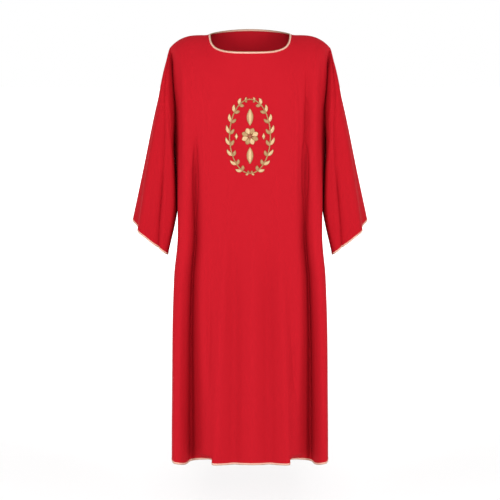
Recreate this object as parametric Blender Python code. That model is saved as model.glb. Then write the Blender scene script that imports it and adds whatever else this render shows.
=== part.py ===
"""Dalmatic: a wide-sleeved, knee-length liturgical tunic, hollow as worn, with a bound neck, cuffs and hem.

Metres, +Z up. The front faces -Y, and left and right are the wearer's: the right sleeve is at -X.
The origin is where the shoulders carry the cloth: level with the neck points, in the plane of the
shoulder seams. Every piece is cut from one base surface, the body round a general figure, or from the
sleeve surface that is lofted from the armhole of that body to the cuff.
"""

import math
from collections import namedtuple

import bmesh
import bpy
import numpy as np

# Cloth and trims
CLOTH = 0.0018  # wall of the woven cloth
BINDING = 0.0030  # thickness of the folded gold binding
BINDING_WIDTH = 0.0060
SEAM_GAP = 0.0003
EMBROIDERY = 0.0012  # padded satin stitch
EMBROIDERY_GAP = 0.0005

# Heights of the body
YOKE_Z = -0.180  # the shoulder's curve ends here
UNDERARM_Z = -0.310
HEM_Z = -1.280

# Neck
NECK_HALF_WIDTH = 0.124
NECK_FRONT_Z = -0.050
NECK_BACK_Z = 0.004
NECK_SQUARENESS = 3.2
NAPE_RISE = 0.155  # how far the shoulder line would climb inside the neck opening
NAPE_HALF_WIDTH = 0.150

# Shoulder line, which is level near the neck and rounds down over the shoulder
SHOULDER_LEVEL_TO = 0.140
SHOULDER_ROUND = 0.110
SHOULDER_DROP = 0.050
CHEST_SLOPE = 0.10  # share of straight slope in the shoulder's quarter-round profile

# Armhole
ARMHOLE_MID_Z = -0.140
ARMHOLE_TOP_X = 0.236
UNDERARM_SHARPNESS = 1.6
SLEEVE_CLEARANCE = 0.0030  # between the hanging sleeve and the side of the body

# The body's sections: half width, and how far the foremost and rearmost cloth stand from the seam plane
Section = namedtuple("Section", "z half_width front back")
SECTIONS = (
    Section(0.060, 0.2520, 0.118, 0.108),
    Section(-0.030, 0.2450, 0.118, 0.108),
    Section(-0.090, 0.2330, 0.118, 0.110),
    Section(-0.180, 0.2280, 0.118, 0.114),
    Section(-0.310, 0.2265, 0.127, 0.120),
    Section(-0.450, 0.2210, 0.136, 0.127),
    Section(-0.590, 0.2160, 0.145, 0.134),
    Section(-0.720, 0.2275, 0.151, 0.142),
    Section(-0.900, 0.2335, 0.158, 0.152),
    Section(-1.100, 0.2355, 0.165, 0.162),
    Section(-1.280, 0.2370, 0.172, 0.170),
)

# Folds, from the centre to the side seam, at three heights: chest, hip and above the hem. across is a share
# of the half width, and behind is how far the cloth lies behind the section's foremost line, as a share of
# the depth. Between these heights they change smoothly.
Fold = namedtuple("Fold", "name across_chest across_hip across_hem behind_chest behind_hip behind_hem")
FOLD_HEIGHTS = (-1.180, -0.620, -0.310)
FRONT_FOLDS = (
    Fold("centre", 0.000, 0.000, 0.000, 0.000, 0.006, 0.012),
    Fold("front trough", 0.155, 0.215, 0.210, 0.000, 0.014, 0.046),
    Fold("front ridge", 0.330, 0.360, 0.428, 0.006, 0.000, 0.000),
    Fold("ridge edge", 0.420, 0.440, 0.458, 0.014, 0.009, 0.022),
    Fold("return", 0.500, 0.520, 0.513, 0.028, 0.026, 0.090),
    Fold("panel edge", 0.612, 0.656, 0.620, 0.040, 0.042, 0.250),
    Fold("valley wall", 0.668, 0.700, 0.655, 0.105, 0.165, 0.340),
    Fold("valley foot", 0.718, 0.742, 0.692, 0.155, 0.270, 0.400),
    Fold("valley rise", 0.778, 0.802, 0.755, 0.155, 0.200, 0.265),
    Fold("side ridge", 0.865, 0.890, 0.838, 0.150, 0.095, 0.060),
    Fold("ridge outer", 0.942, 0.965, 0.925, 0.250, 0.150, 0.030),
    Fold("side front", 0.990, 1.000, 0.988, 0.460, 0.370, 0.130),
    Fold("side middle", 1.000, 0.998, 1.000, 0.740, 0.700, 0.580),
    Fold("side seam", 1.000, 0.990, 0.985, 1.000, 1.000, 1.000),
)
BACK_FOLDS = (
    Fold("centre", 0.000, 0.000, 0.000, 0.060, 0.050, 0.070),
    Fold("centre ridge", 0.180, 0.190, 0.200, 0.020, 0.000, 0.000),
    Fold("centre valley", 0.340, 0.355, 0.370, 0.040, 0.090, 0.150),
    Fold("blade ridge", 0.500, 0.520, 0.530, 0.060, 0.050, 0.040),
    Fold("side valley", 0.650, 0.670, 0.680, 0.150, 0.200, 0.290),
    Fold("side ridge", 0.800, 0.830, 0.840, 0.200, 0.120, 0.060),
    Fold("side ridge outer", 0.910, 0.945, 0.950, 0.290, 0.200, 0.120),
    Fold("side back", 0.975, 0.995, 1.000, 0.480, 0.430, 0.370),
    Fold("side middle", 1.000, 1.000, 0.992, 0.740, 0.710, 0.700),
    Fold("side seam", 1.000, 0.990, 0.985, 1.000, 1.000, 1.000),
)
FOLD_SWAY = 0.020  # the folds on the wearer's left stand this share wider

# The box fold shows at the hem only, where its edge stands over the recess beside it
HEM_STEP_HEIGHT = 0.060
HemStep = namedtuple("HemStep", "fold across behind")
HEM_STEP = (
    HemStep("ridge edge", 0.004, -0.006),
    HemStep("return", -0.045, 0.080),
    HemStep("panel edge", -0.095, 0.045),
    HemStep("valley wall", -0.055, -0.035),
    HemStep("valley foot", -0.040, -0.085),
    HemStep("valley rise", 0.000, -0.070),
)

# Rows of the sleeve's loft, from the cap to the cuff. skew carries the outer wall out towards the back.
SleeveSection = namedtuple(
    "SleeveSection", "name inner outer front back inner_z outer_z skew squareness"
)
SLEEVE_SECTIONS = (
    SleeveSection("cap", 0.2285, 0.2550, 0.094, 0.090, -0.342, -0.078, 0.000, 2.5),
    SleeveSection("upper arm", 0.2260, 0.2870, 0.103, 0.098, -0.425, -0.235, 0.004, 2.9),
    SleeveSection("elbow", 0.2225, 0.3215, 0.104, 0.103, -0.535, -0.408, 0.0105, 3.6),
    SleeveSection("cuff", 0.2460, 0.3545, 0.098, 0.105, -0.650, -0.572, 0.0150, 5.5),
)
SLEEVE_CREASE = 0.008  # the inner part of the sleeve's front stands this far before the outer part
CREASE_AT = math.radians(95)
CREASE_SPREAD = math.radians(55)

# How finely the solids are divided
STEPS_PER_FOLD = 2
FAN_REACH = 0.30  # how far the panels' rows would fan down from the neck, were they not drawn level
FAN_OUT = 0.022
ARMHOLE_ROWS = 12
SKIRT_ROWS = (0.09, 0.20, 0.33, 0.47, 0.61, 0.74, 0.85, 0.93, 0.972, 1.0)
SLEEVE_ROWS = 15

# Emblem on the breast: a rosette between two buds, in an upright wreath of grains, with lozenges beside it
EMBLEM_Z = -0.294
WREATH_HALF_WIDTH = 0.060
WREATH_HALF_HEIGHT = 0.108
WREATH_LEAVES = 20
LEAF_REACH = 0.0100
# The margin of one leaf, from its foot to its tip and back: (share of the reach, share of the spacing)
LEAF_MARGIN = ((0.0, 0.0), (0.50, 0.26), (0.86, 0.56), (1.0, 0.92), (0.60, 0.78), (0.24, 0.76))
STEM_HALF_WIDTH = 0.0020
ROSETTE_RADIUS = 0.0255
ROSETTE_NOTCH = 0.0150
ROSETTE_PETALS = 8
BUD_OUT = 0.0095
BUD_HALF_HEIGHT = 0.0240
BUD_UP = 0.0560
LOZENGE_OUT = 0.0400
LOZENGE_HALF_WIDTH = 0.0045
LOZENGE_HALF_HEIGHT = 0.0090

RED = (0.560, 0.012, 0.022, 1.0)
GOLD = (0.830, 0.610, 0.340, 1.0)
EMBROIDERY_GOLD = (0.760, 0.560, 0.260, 1.0)


def eased(heights, values, z):
    """Monotone cubic interpolation of values, given at rising heights, at each z."""
    heights, values = np.asarray(heights, float), np.asarray(values, float)
    z = np.clip(z, heights[0], heights[-1])
    step = np.diff(heights)
    secant = np.diff(values) / step
    slope = np.zeros_like(values)
    both = secant[:-1] * secant[1:] > 0
    slope[1:-1][both] = (2 * secant[:-1] * secant[1:])[both] / (secant[:-1] + secant[1:])[both]
    slope[0], slope[-1] = secant[0], secant[-1]
    i = np.clip(np.searchsorted(heights, z, side="right") - 1, 0, len(step) - 1)
    t = (z - heights[i]) / step[i]
    return (
        (2 * t**3 - 3 * t**2 + 1) * values[i]
        + (t**3 - 2 * t**2 + t) * step[i] * slope[i]
        + (3 * t**2 - 2 * t**3) * values[i + 1]
        + (t**3 - t**2) * step[i] * slope[i + 1]
    )


def unit(vectors):
    """The vectors at length 1."""
    return vectors / np.maximum(np.linalg.norm(vectors, axis=-1, keepdims=True), 1e-12)


def section_at(z, column):
    """One column of the body's sections, at each height z."""
    rows = SECTIONS[::-1]
    return eased([r.z for r in rows], [getattr(r, column) for r in rows], z)


def shoulder_z(x):
    """Height of the shoulder line, and of its continuation across the neck opening."""
    x = np.abs(x)
    nape = NAPE_RISE * np.clip(1 - (x / NAPE_HALF_WIDTH) ** 2, 0, 1) ** 3
    round_over = np.clip((x - SHOULDER_LEVEL_TO) / SHOULDER_ROUND, 0, None) ** 3
    return nape - SHOULDER_DROP * round_over


def fold_points(folds, depth, z, sway):
    """Each fold's (x, distance from the seam plane) at each height z: an array of len(z) by folds by 2."""
    hem_step = np.exp(-np.clip(z - HEM_Z, 0, None) / HEM_STEP_HEIGHT)
    low = np.clip((UNDERARM_Z - z) / (UNDERARM_Z - HEM_Z), 0, 1)
    steps = {s.fold: s for s in HEM_STEP} if folds is FRONT_FOLDS else {}
    half_width = section_at(z, "half_width")
    rows = []
    for fold in folds:
        across = eased(FOLD_HEIGHTS, (fold.across_hem, fold.across_hip, fold.across_chest), z)
        behind = eased(FOLD_HEIGHTS, (fold.behind_hem, fold.behind_hip, fold.behind_chest), z)
        if fold.name in steps:
            across = across + steps[fold.name].across * hem_step
            behind = behind + steps[fold.name].behind * hem_step
        widened = 1 + sway * low * np.sin(math.pi * np.clip(across, 0, 1))
        rows.append(np.stack([half_width * across * widened, depth * (1 - behind)], axis=-1))
    return np.stack(rows, axis=-2)


def through(points, place):
    """The smooth curve through the last-but-one axis of points, at place, counted from the second point."""
    i = np.clip(np.floor(place).astype(int), 0, points.shape[-2] - 4)
    t = (place - i)[..., None]
    rows = np.arange(len(place))
    before, here, there, after = (points[rows, i + k] for k in range(4))
    lengths = [
        np.linalg.norm(b - a, axis=-1, keepdims=True)
        for a, b in ((before, here), (here, there), (there, after))
    ]
    first, span, last = (np.maximum(length, 1e-9) for length in lengths)
    leave = ((there - here) / span * first + (here - before) / first * span) / (first + span)
    arrive = ((after - there) / last * span + (there - here) / span * last) / (span + last)
    return (
        (2 * t**3 - 3 * t**2 + 1) * here
        + (t**3 - 2 * t**2 + t) * span * leave
        + (3 * t**2 - 2 * t**3) * there
        + (t**3 - t**2) * span * arrive
    )


def body_point(facing, s, z):
    """Points of the body's outer surface. facing is -1 for the front and 1 for the back, and s runs from
    -1 at the right side seam, through the centre, to 1 at the left one."""
    s, z = np.broadcast_arrays(np.asarray(s, float), np.asarray(z, float))
    shape = s.shape
    s, z = s.ravel(), z.ravel()
    side = np.where(s < 0, -1.0, 1.0)
    front, back = section_at(z, "front"), section_at(z, "back")
    sway = np.where(side > 0, FOLD_SWAY, 0.0)
    near = fold_points(FRONT_FOLDS, front, z, sway)
    far = fold_points(BACK_FOLDS, back, z, sway)
    if facing > 0:
        near, far = far, near
    mirrored = near[:, 1:2] * np.array([-1.0, 1.0])
    beyond = far[:, -2:-1] * np.array([1.0, -1.0])
    path = through(np.concatenate([mirrored, near, beyond], axis=1), np.abs(s) * (near.shape[1] - 1))
    x, out = path[:, 0], path[:, 1]
    drop = np.clip((shoulder_z(x) - z) / (shoulder_z(x) - YOKE_Z), 0, 1)
    rounding = (1 - CHEST_SLOPE) * np.sqrt(1 - (1 - drop) ** 2) + CHEST_SLOPE * drop
    rounding = np.where(z < YOKE_Z, 1.0, rounding)
    return np.stack([x * side, facing * out * rounding, z], axis=-1).reshape(*shape, 3)


def s_at(facing, x, z):
    """The s at which the body's surface has this x, for single-valued stretches of one section."""
    s = np.linspace(0, 0.95, 400)
    side = 1.0 if x >= 0 else -1.0
    reach = np.abs(body_point(facing, s * side, z)[:, 0])
    return side * float(np.interp(abs(x), np.maximum.accumulate(reach), s))


def neck_point(facing, angle, inset):
    """(x, z) of the neck opening, from the centre (angle 0) to the shoulder line (a quarter turn).
    inset moves it into the opening."""
    half_width = NECK_HALF_WIDTH - inset
    top = float(shoulder_z(half_width))
    if facing < 0:
        power = 2 / NECK_SQUARENESS
        down = abs(math.cos(angle)) ** power
        return half_width * math.sin(angle) ** power, top + (NECK_FRONT_Z + inset - top) * down
    up = abs(math.cos(angle)) ** 0.8
    return half_width * math.sin(angle), top + (NECK_BACK_Z + inset - top) * up


def armhole(facing, turn):
    """(s, z) of the armhole's edge, from the shoulder line (turn 0) to the underarm (half a turn)."""
    top_z = float(shoulder_z(ARMHOLE_TOP_X))
    top_s = s_at(facing, ARMHOLE_TOP_X, top_z)
    if turn <= math.pi / 2:
        return top_s, ARMHOLE_MID_Z + (top_z - ARMHOLE_MID_Z) * math.cos(turn)
    to_seam = 1 - math.sin(turn) ** UNDERARM_SHARPNESS
    return top_s + (1 - top_s) * to_seam, ARMHOLE_MID_Z + (ARMHOLE_MID_Z - UNDERARM_Z) * math.cos(turn)


def body_normal(facing, s, z):
    """Outward unit normals of the body's surface."""
    s, z = np.broadcast_arrays(np.asarray(s, float), np.asarray(z, float))
    across = body_point(facing, np.clip(s + 1e-3, -1, 1), z) - body_point(facing, np.clip(s - 1e-3, -1, 1), z)
    up = body_point(facing, s, z + 5e-4) - body_point(facing, s, z - 5e-4)
    return -facing * unit(np.cross(across, up))


def columns(folds):
    """The panel's own coordinate q, evenly divided between its folds, from -1 to 1."""
    count = (len(folds) - 1) * STEPS_PER_FOLD
    return np.arange(-count, count + 1) / count


def top_edge(facing, q, neck_share):
    """(x, z) of the panel's top edge: round the neck, then out along the shoulder line."""
    side = -1.0 if q < 0 else 1.0
    if abs(q) <= neck_share:
        x, z = neck_point(facing, math.pi / 2 * abs(q) / neck_share, -SEAM_GAP)
        return side * x, z
    out = (abs(q) - neck_share) / (1 - neck_share)
    x = NECK_HALF_WIDTH + (ARMHOLE_TOP_X - NECK_HALF_WIDTH) * out
    return side * x, float(shoulder_z(x))


def fanned(q, neck_share):
    """Directions in which the panel's rows leave its top edge: out from the neck, and down elsewhere."""
    round_neck = np.sin(math.pi / 2 * np.clip(np.abs(q) / neck_share, 0, 1)) ** 2
    past_neck = np.clip((np.abs(q) - neck_share) / (1 - neck_share), 0, 1)
    sideways = 0.75 * np.sign(q) * round_neck * (1 - past_neck) ** 1.5
    return np.stack([sideways, -np.sqrt(1 - sideways**2)], axis=-1)


def panel_grid(facing):
    """s and z of the front or back panel's points, in rows from the neck and shoulders to above the hem
    binding."""
    folds = FRONT_FOLDS if facing < 0 else BACK_FOLDS
    q = columns(folds)
    neck_share = 6 / 13 if facing < 0 else 4 / 9
    top = np.array([top_edge(facing, each, neck_share) for each in q])
    away = fanned(q, neck_share)
    top_s = armhole(facing, 0.0)[0]
    to_edge = np.abs(q) ** 4
    rows = []
    for row in range(ARMHOLE_ROWS + 1):
        turn = math.pi * row / ARMHOLE_ROWS
        edge_s, edge_z = armhole(facing, turn)
        down = (1 - math.cos(turn)) / 2
        straight = down**0.75 * (1 - down) + down * down
        fan_x = top[:, 0] + away[:, 0] * min(down * FAN_REACH, FAN_OUT)
        fan_z = top[:, 1] + away[:, 1] * down * FAN_REACH
        s = np.array([s_at(facing, *each) for each in zip(fan_x, top[:, 1])])
        s = s + (q - s) * (straight + ((edge_s - top_s) / (1 - top_s) - straight) * to_edge)
        z = fan_z + (UNDERARM_Z * down - fan_z) * straight
        z = z + to_edge * (edge_z - z[-1])
        s[0], s[-1], z[0], z[-1] = -edge_s, edge_s, edge_z, edge_z
        rows.append((s, z))
    bottom = HEM_Z + BINDING_WIDTH + SEAM_GAP
    for share in SKIRT_ROWS:
        rows.append((q, np.full(len(q), UNDERARM_Z + (bottom - UNDERARM_Z) * share)))
    return np.moveaxis(np.array(rows), 1, 0)


def body_reach(y, z):
    """How far the body's side stands from its centre, at this depth and height."""
    s = np.linspace(0.55, 1, 90)
    ring = np.concatenate([body_point(-1, s, z), body_point(1, s[::-1], z)])
    return float(np.interp(y, ring[:, 1], ring[:, 0]))


def sleeve_turns():
    """Angles round the sleeve: 0 on top, a quarter turn at the front, half a turn under the arm. They are
    the armhole rows of the two panels."""
    return math.pi * np.arange(2 * ARMHOLE_ROWS) / ARMHOLE_ROWS


def armhole_ring():
    """The left armhole's edge in the body's outer surface and its normals, for each sleeve turn."""
    ring, normals = [], []
    for turn in sleeve_turns():
        facing, half = (-1, turn) if turn <= math.pi else (1, 2 * math.pi - turn)
        place = armhole(facing, half)
        ring.append(body_point(facing, *place))
        normals.append(body_normal(facing, *place))
    normals = np.array(normals)
    for seam in (0, ARMHOLE_ROWS):
        normals[seam] = in_seam_plane(normals[seam])
    return np.array(ring), normals


def section_ring(section):
    """One ring of the left sleeve: a rounded oblong, hung lower at its inner side, clear of the body."""
    ring = []
    for turn in sleeve_turns():
        c, s = math.cos(turn), math.sin(turn)
        out = (1 + math.copysign(abs(c) ** (2 / section.squareness), c)) / 2
        fore = math.copysign(abs(s) ** (2 / section.squareness), s)
        y = -fore * (section.front if fore > 0 else section.back)
        past_crease = (turn - CREASE_AT) / CREASE_SPREAD
        if 0 <= past_crease <= 1:
            y -= SLEEVE_CREASE * (1 - past_crease) ** 2
        x = section.inner + (section.outer - section.inner) * out - section.skew * fore * out
        z = section.inner_z + (section.outer_z - section.inner_z) * out
        ring.append((max(x, body_reach(y, z) + SLEEVE_CLEARANCE), y, z))
    return np.array(ring)


def sleeve_path():
    """The left sleeve's surface as close rings, with how far along the sleeve each one is."""
    keys = [armhole_ring()[0]] + [section_ring(section) for section in SLEEVE_SECTIONS]
    keys = [2 * keys[0] - keys[1]] + keys + [2 * keys[-1] - keys[-2]]
    path = np.stack(keys, axis=1)
    places = np.linspace(0, len(SLEEVE_SECTIONS), 12 * len(SLEEVE_SECTIONS) + 1)
    dense = np.stack([through(path, np.full(len(path), place)) for place in places])
    step = np.linalg.norm(np.diff(dense, axis=0), axis=-1).mean(axis=1)
    along = np.concatenate([[0], np.cumsum(step)])
    for ring, far in zip(dense[1:], along[1:]):
        clear = SLEEVE_CLEARANCE * min(1.0, 0.2 + far / 0.03)
        for point in ring:
            point[0] = max(point[0], body_reach(point[1], point[2]) + clear)
    return dense, along


def rings_at(dense, along, distances):
    """Rings of the sleeve at these distances along it."""
    flat = dense.reshape(len(dense), -1)
    rings = np.stack([np.interp(distances, along, column) for column in flat.T], axis=1)
    return rings.reshape(len(distances), dense.shape[1], 3)


def armhole_join(dense):
    """Where the sleeve's edge stands at the armhole, the normals of its rim, and those of the panels'."""
    ring, panel_normals = armhole_ring()
    round_edge = unit(np.roll(ring, -1, axis=0) - np.roll(ring, 1, axis=0))
    leave = dense[4] - ring
    leave = unit(leave - round_edge * (leave * round_edge).sum(axis=-1, keepdims=True))
    sleeve_normals = unit(np.cross(round_edge, leave))
    off_panel = unit(np.cross(panel_normals, round_edge))
    start = ring + SEAM_GAP * 1.5 * unit(off_panel + leave + 0.5 * panel_normals)
    alike = np.clip((panel_normals * sleeve_normals).sum(axis=-1, keepdims=True), 0, 1)
    shared = panel_normals + alike * sleeve_normals
    return start, unit(sleeve_normals + alike * panel_normals), unit(shared)


def grid_normals(grid, closed):
    """A unit normal at each point of a grid of points, from its neighbours."""
    if closed:
        along = np.roll(grid, -1, axis=1) - np.roll(grid, 1, axis=1)
    else:
        along = np.gradient(grid, axis=1)
    return unit(np.cross(along, np.gradient(grid, axis=0)))


def in_seam_plane(normals):
    """Normals turned into the plane of the shoulder and side seams, so that the rims there are square."""
    return unit(normals * np.array([1.0, 0.0, 1.0]))


def cloth_object(name, outer, inner, closed, material):
    """A closed wall between two like grids of points, with its rims, as one object."""
    rows, count = outer.shape[:2]
    build = bmesh.new()
    skins = [
        [[build.verts.new(point) for point in row] for row in skin.tolist()] for skin in (outer, inner)
    ]
    last = count if closed else count - 1
    quads = []
    for row in range(rows - 1):
        for i in range(last):
            j = (i + 1) % count
            quads += [[skin[row][i], skin[row + 1][i], skin[row + 1][j], skin[row][j]] for skin in skins]
    for row in (0, rows - 1):
        for i in range(last):
            j = (i + 1) % count
            quads.append([skins[0][row][i], skins[1][row][i], skins[1][row][j], skins[0][row][j]])
    if not closed:
        for i in (0, count - 1):
            for row in range(rows - 1):
                quads.append([skins[0][row][i], skins[1][row][i], skins[1][row + 1][i], skins[0][row + 1][i]])
    for quad in quads:
        build.faces.new(quad)
    return finished(name, build, material)


def finished(name, build, material):
    """Turns a built mesh's faces outward and makes it an object of the garment."""
    bmesh.ops.recalc_face_normals(build, faces=build.faces)
    mesh = bpy.data.meshes.new(name)
    build.to_mesh(mesh)
    build.free()
    mesh.shade_smooth()
    mesh.set_sharp_from_angle(angle=math.radians(50))
    mesh.materials.append(material)
    made = bpy.data.objects.new(name, mesh)
    collection.objects.link(made)
    return made


def material_of(name, colour, roughness, metallic):
    """A Principled material."""
    made = bpy.data.materials.new(name)
    made.use_nodes = True
    shader = made.node_tree.nodes["Principled BSDF"]
    shader.inputs["Base Color"].default_value = colour
    shader.inputs["Roughness"].default_value = roughness
    shader.inputs["Metallic"].default_value = metallic
    return made


def build_panel(name, facing, armhole_normals, material):
    """The front or the back panel."""
    s, z = panel_grid(facing)
    outer = body_point(facing, s, z)
    normals = body_normal(facing, s, z)
    normals[0, np.abs(outer[0, :, 0]) > NECK_HALF_WIDTH - 0.001] *= np.array([1.0, 0.0, 1.0])
    normals[ARMHOLE_ROWS:, 0] *= np.array([1.0, 0.0, 1.0])
    normals[ARMHOLE_ROWS:, -1] *= np.array([1.0, 0.0, 1.0])
    normals = unit(normals)
    for row in range(ARMHOLE_ROWS + 1):
        normal = armhole_normals[row if facing < 0 else -row]
        normals[row, -1] = normal
        normals[row, 0] = normal * np.array([-1.0, 1.0, 1.0])
    outer[..., 1] += facing * SEAM_GAP / 2
    return cloth_object(name, outer, outer - CLOTH * normals, False, material)


def build_binding(name, rows, normals, material):
    """A folded strip standing a little proud of both faces of the cloth, along closed rows of points."""
    proud = (BINDING - CLOTH) / 2
    lift = proud * np.array([0.55, 1.0, 0.55])[:, None, None]
    return cloth_object(name, rows + lift * normals, rows - (CLOTH + lift) * normals, True, material)


def round_body(s_front, z_front, s_back, z_back):
    """Closed rows of points round the body with their normals: the front from right to left, then the
    back from left to right."""
    points = [body_point(-1, s_front, z_front), body_point(1, s_back, z_back)[:, -2:0:-1]]
    normals = [body_normal(-1, s_front, z_front), body_normal(1, s_back, z_back)[:, -2:0:-1]]
    normals[0][:, 0] = in_seam_plane(normals[0][:, 0])
    normals[0][:, -1] = in_seam_plane(normals[0][:, -1])
    return np.concatenate(points, axis=1), np.concatenate(normals, axis=1)


def build_hem_binding(material):
    """The gold strip round the bottom edge."""
    q_front, q_back = columns(FRONT_FOLDS), columns(BACK_FOLDS)
    heights = np.array([BINDING_WIDTH, BINDING_WIDTH / 2, 0.0])[:, None] + HEM_Z
    s_front, z_front = np.broadcast_arrays(q_front, heights)
    s_back, z_back = np.broadcast_arrays(q_back, heights)
    return build_binding("hem_binding", *round_body(s_front, z_front, s_back, z_back), material)


def build_neck_binding(material):
    """The gold strip round the neck opening."""
    edges = {}
    for facing, steps in ((-1, 12), (1, 8)):
        rows = []
        for inset in (0.0, BINDING_WIDTH / 2, BINDING_WIDTH):
            row = []
            for step in range(-steps, steps + 1):
                x, z = neck_point(facing, math.pi / 2 * abs(step) / steps, inset)
                x = math.copysign(x, step)
                row.append((s_at(facing, x, z), z))
            rows.append(row)
        edges[facing] = np.moveaxis(np.array(rows), -1, 0)
    return build_binding("neck_binding", *round_body(*edges[-1], *edges[1]), material)


def on_breast(outline):
    """Points of the front's surface and their normals, at (x, up) from the emblem's centre."""
    z = EMBLEM_Z + outline[..., 1]
    s = np.array([s_at(-1, *place) for place in zip(outline[..., 0].ravel(), z.ravel())])
    s = s.reshape(z.shape)
    return body_point(-1, s, z), body_normal(-1, s, z)


def build_wreath(material):
    """An upright oval of leaves on a stem, both sides growing from the bottom to the top."""
    steps = len(LEAF_MARGIN)
    count = WREATH_LEAVES * steps
    angle = 2 * math.pi * np.arange(count) / count
    path = np.stack([WREATH_HALF_WIDTH * np.sin(angle), -WREATH_HALF_HEIGHT * np.cos(angle)], axis=-1)
    along = (np.roll(path, -1, axis=0) - np.roll(path, 1, axis=0)) / 2
    away = unit(np.stack([along[:, 1], -along[:, 0]], axis=-1))
    margin = np.array(LEAF_MARGIN)
    one_leaf = np.column_stack([margin[:, 0], margin[:, 1] * steps - np.arange(steps)])
    rising = np.tile(one_leaf, (WREATH_LEAVES // 2, 1))
    falling = np.roll(rising[::-1], 1, axis=0) * (1, -1)
    leaf = np.concatenate([rising, falling])
    full = np.clip(np.abs(np.sin(angle)) / 0.30, 0, 1)
    rows = []
    for side in (1, 0, -1):
        reach = side * (STEM_HALF_WIDTH + LEAF_REACH * leaf[:, 0] * full)
        forward = abs(side) * leaf[:, 1] * full * (1.0 if side > 0 else 0.7)
        rows.append(path + reach[:, None] * away + forward[:, None] * along)
    points, normals = on_breast(np.array(rows))
    lift = EMBROIDERY_GAP + EMBROIDERY * np.array([0.7, 1.0, 0.7])[:, None, None]
    return cloth_object("wreath", points + lift * normals, points + EMBROIDERY_GAP * normals, True, material)


def build_motif(name, outline, centre, material):
    """A padded motif: an outline that its centre sees all of, raised most at the centre."""
    centre = np.array(centre)
    ring, ring_normals = on_breast(centre + outline)
    middle, middle_normals = on_breast(centre + outline * 0.5)
    heart, heart_normal = on_breast(centre[None, :])
    build = bmesh.new()
    skins = []
    for lifts in ((0.6, 0.95, 1.0), (0.0, 0.0, 0.0)):
        edge, mid, top = (EMBROIDERY_GAP + EMBROIDERY * lift for lift in lifts)
        skins.append(
            (
                [build.verts.new(point) for point in (ring + edge * ring_normals).tolist()],
                [build.verts.new(point) for point in (middle + mid * middle_normals).tolist()],
                build.verts.new((heart + top * heart_normal)[0].tolist()),
            )
        )
    for i in range(len(outline)):
        j = (i + 1) % len(outline)
        for rim, mid, top in skins:
            build.faces.new([rim[i], rim[j], mid[j], mid[i]])
            build.faces.new([mid[i], mid[j], top])
        build.faces.new([skins[0][0][i], skins[0][0][j], skins[1][0][j], skins[1][0][i]])
    return finished(name, build, material)


def build_emblem(material):
    """The wreath and the motifs inside it."""
    build_wreath(material)
    angle = 2 * math.pi * np.arange(ROSETTE_PETALS * 6) / (ROSETTE_PETALS * 6)
    petal = np.abs(np.sin(ROSETTE_PETALS * angle / 2)) ** 0.6
    radius = ROSETTE_NOTCH + (ROSETTE_RADIUS - ROSETTE_NOTCH) * petal
    build_motif("rosette", np.stack([radius * np.sin(angle), radius * np.cos(angle)], -1), (0, 0), material)
    turn = 2 * math.pi * np.arange(20) / 20
    bud = np.stack([BUD_OUT * np.sin(turn) * np.abs(np.sin(turn)) ** 0.4, BUD_HALF_HEIGHT * np.cos(turn)], -1)
    build_motif("bud_upper", bud, (0, BUD_UP), material)
    build_motif("bud_lower", bud, (0, -BUD_UP), material)
    lozenge = np.array([(0, 1), (0.5, 0.5), (1, 0), (0.5, -0.5), (0, -1), (-0.5, -0.5), (-1, 0), (-0.5, 0.5)])
    lozenge = lozenge * (LOZENGE_HALF_WIDTH, LOZENGE_HALF_HEIGHT)
    build_motif("lozenge_left", lozenge, (LOZENGE_OUT, 0), material)
    build_motif("lozenge_right", lozenge, (-LOZENGE_OUT, 0), material)


def build_sleeves(dense, along, start, rim_normals, red, gold):
    """Both sleeves with the gold strips at their cuffs; the right one is the left one mirrored."""
    cuff = along[-1] - BINDING_WIDTH
    first = 0.012
    spaced = np.linspace(0, 1, SLEEVE_ROWS) ** 1.3
    sleeve = rings_at(dense, along, np.concatenate([[0], first + (cuff - SEAM_GAP - first) * spaced]))
    sleeve[0] = start
    binding = rings_at(dense, along, np.array([cuff, cuff + BINDING_WIDTH / 2, along[-1]]))
    normals = grid_normals(sleeve, closed=True)
    if normals[1, 0, 2] < 0:
        normals = -normals
    normals[0] = rim_normals
    binding_normals = np.repeat(normals[-1:], 3, axis=0)
    for side, turned in (("left", 1.0), ("right", -1.0)):
        mirror = np.array([turned, 1.0, 1.0])
        inner = sleeve - CLOTH * normals
        cloth_object("sleeve_" + side, sleeve * mirror, inner * mirror, True, red)
        build_binding("cuff_binding_" + side, binding * mirror, binding_normals * mirror, gold)


def build_all():
    """Builds every piece of the garment."""
    red = material_of("red_cloth", RED, 0.75, 0.0)
    gold = material_of("gold_binding", GOLD, 0.45, 0.0)
    thread = material_of("gold_thread", EMBROIDERY_GOLD, 0.40, 0.0)
    dense, along = sleeve_path()
    start, rim_normals, armhole_normals = armhole_join(dense)
    build_panel("front_panel", -1, armhole_normals, red)
    build_panel("back_panel", 1, armhole_normals, red)
    build_sleeves(dense, along, start, rim_normals, red, gold)
    build_neck_binding(gold)
    build_hem_binding(gold)
    build_emblem(thread)


for old in list(bpy.data.objects):
    bpy.data.objects.remove(old)
collection = bpy.data.collections.new("dalmatic")
bpy.context.scene.collection.children.link(collection)
build_all()
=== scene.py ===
"""Dalmatic, dressed: a hollow, worn tunic of crimson cloth with gold binding and an embroidered wreath.

Metres, +Z up. The front faces -Y, and left and right are the wearer's. All cloth follows one base form, the
one that the solids were cut from, and the finer creases are laid on that form.
"""

import logging
import math
from collections.abc import Callable
from dataclasses import dataclass, field
from enum import Enum

import bpy
import numpy as np
from bpy.types import Material, Node, NodeSocket, Object, World
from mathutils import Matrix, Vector
from numpy import ndarray as Array


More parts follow.
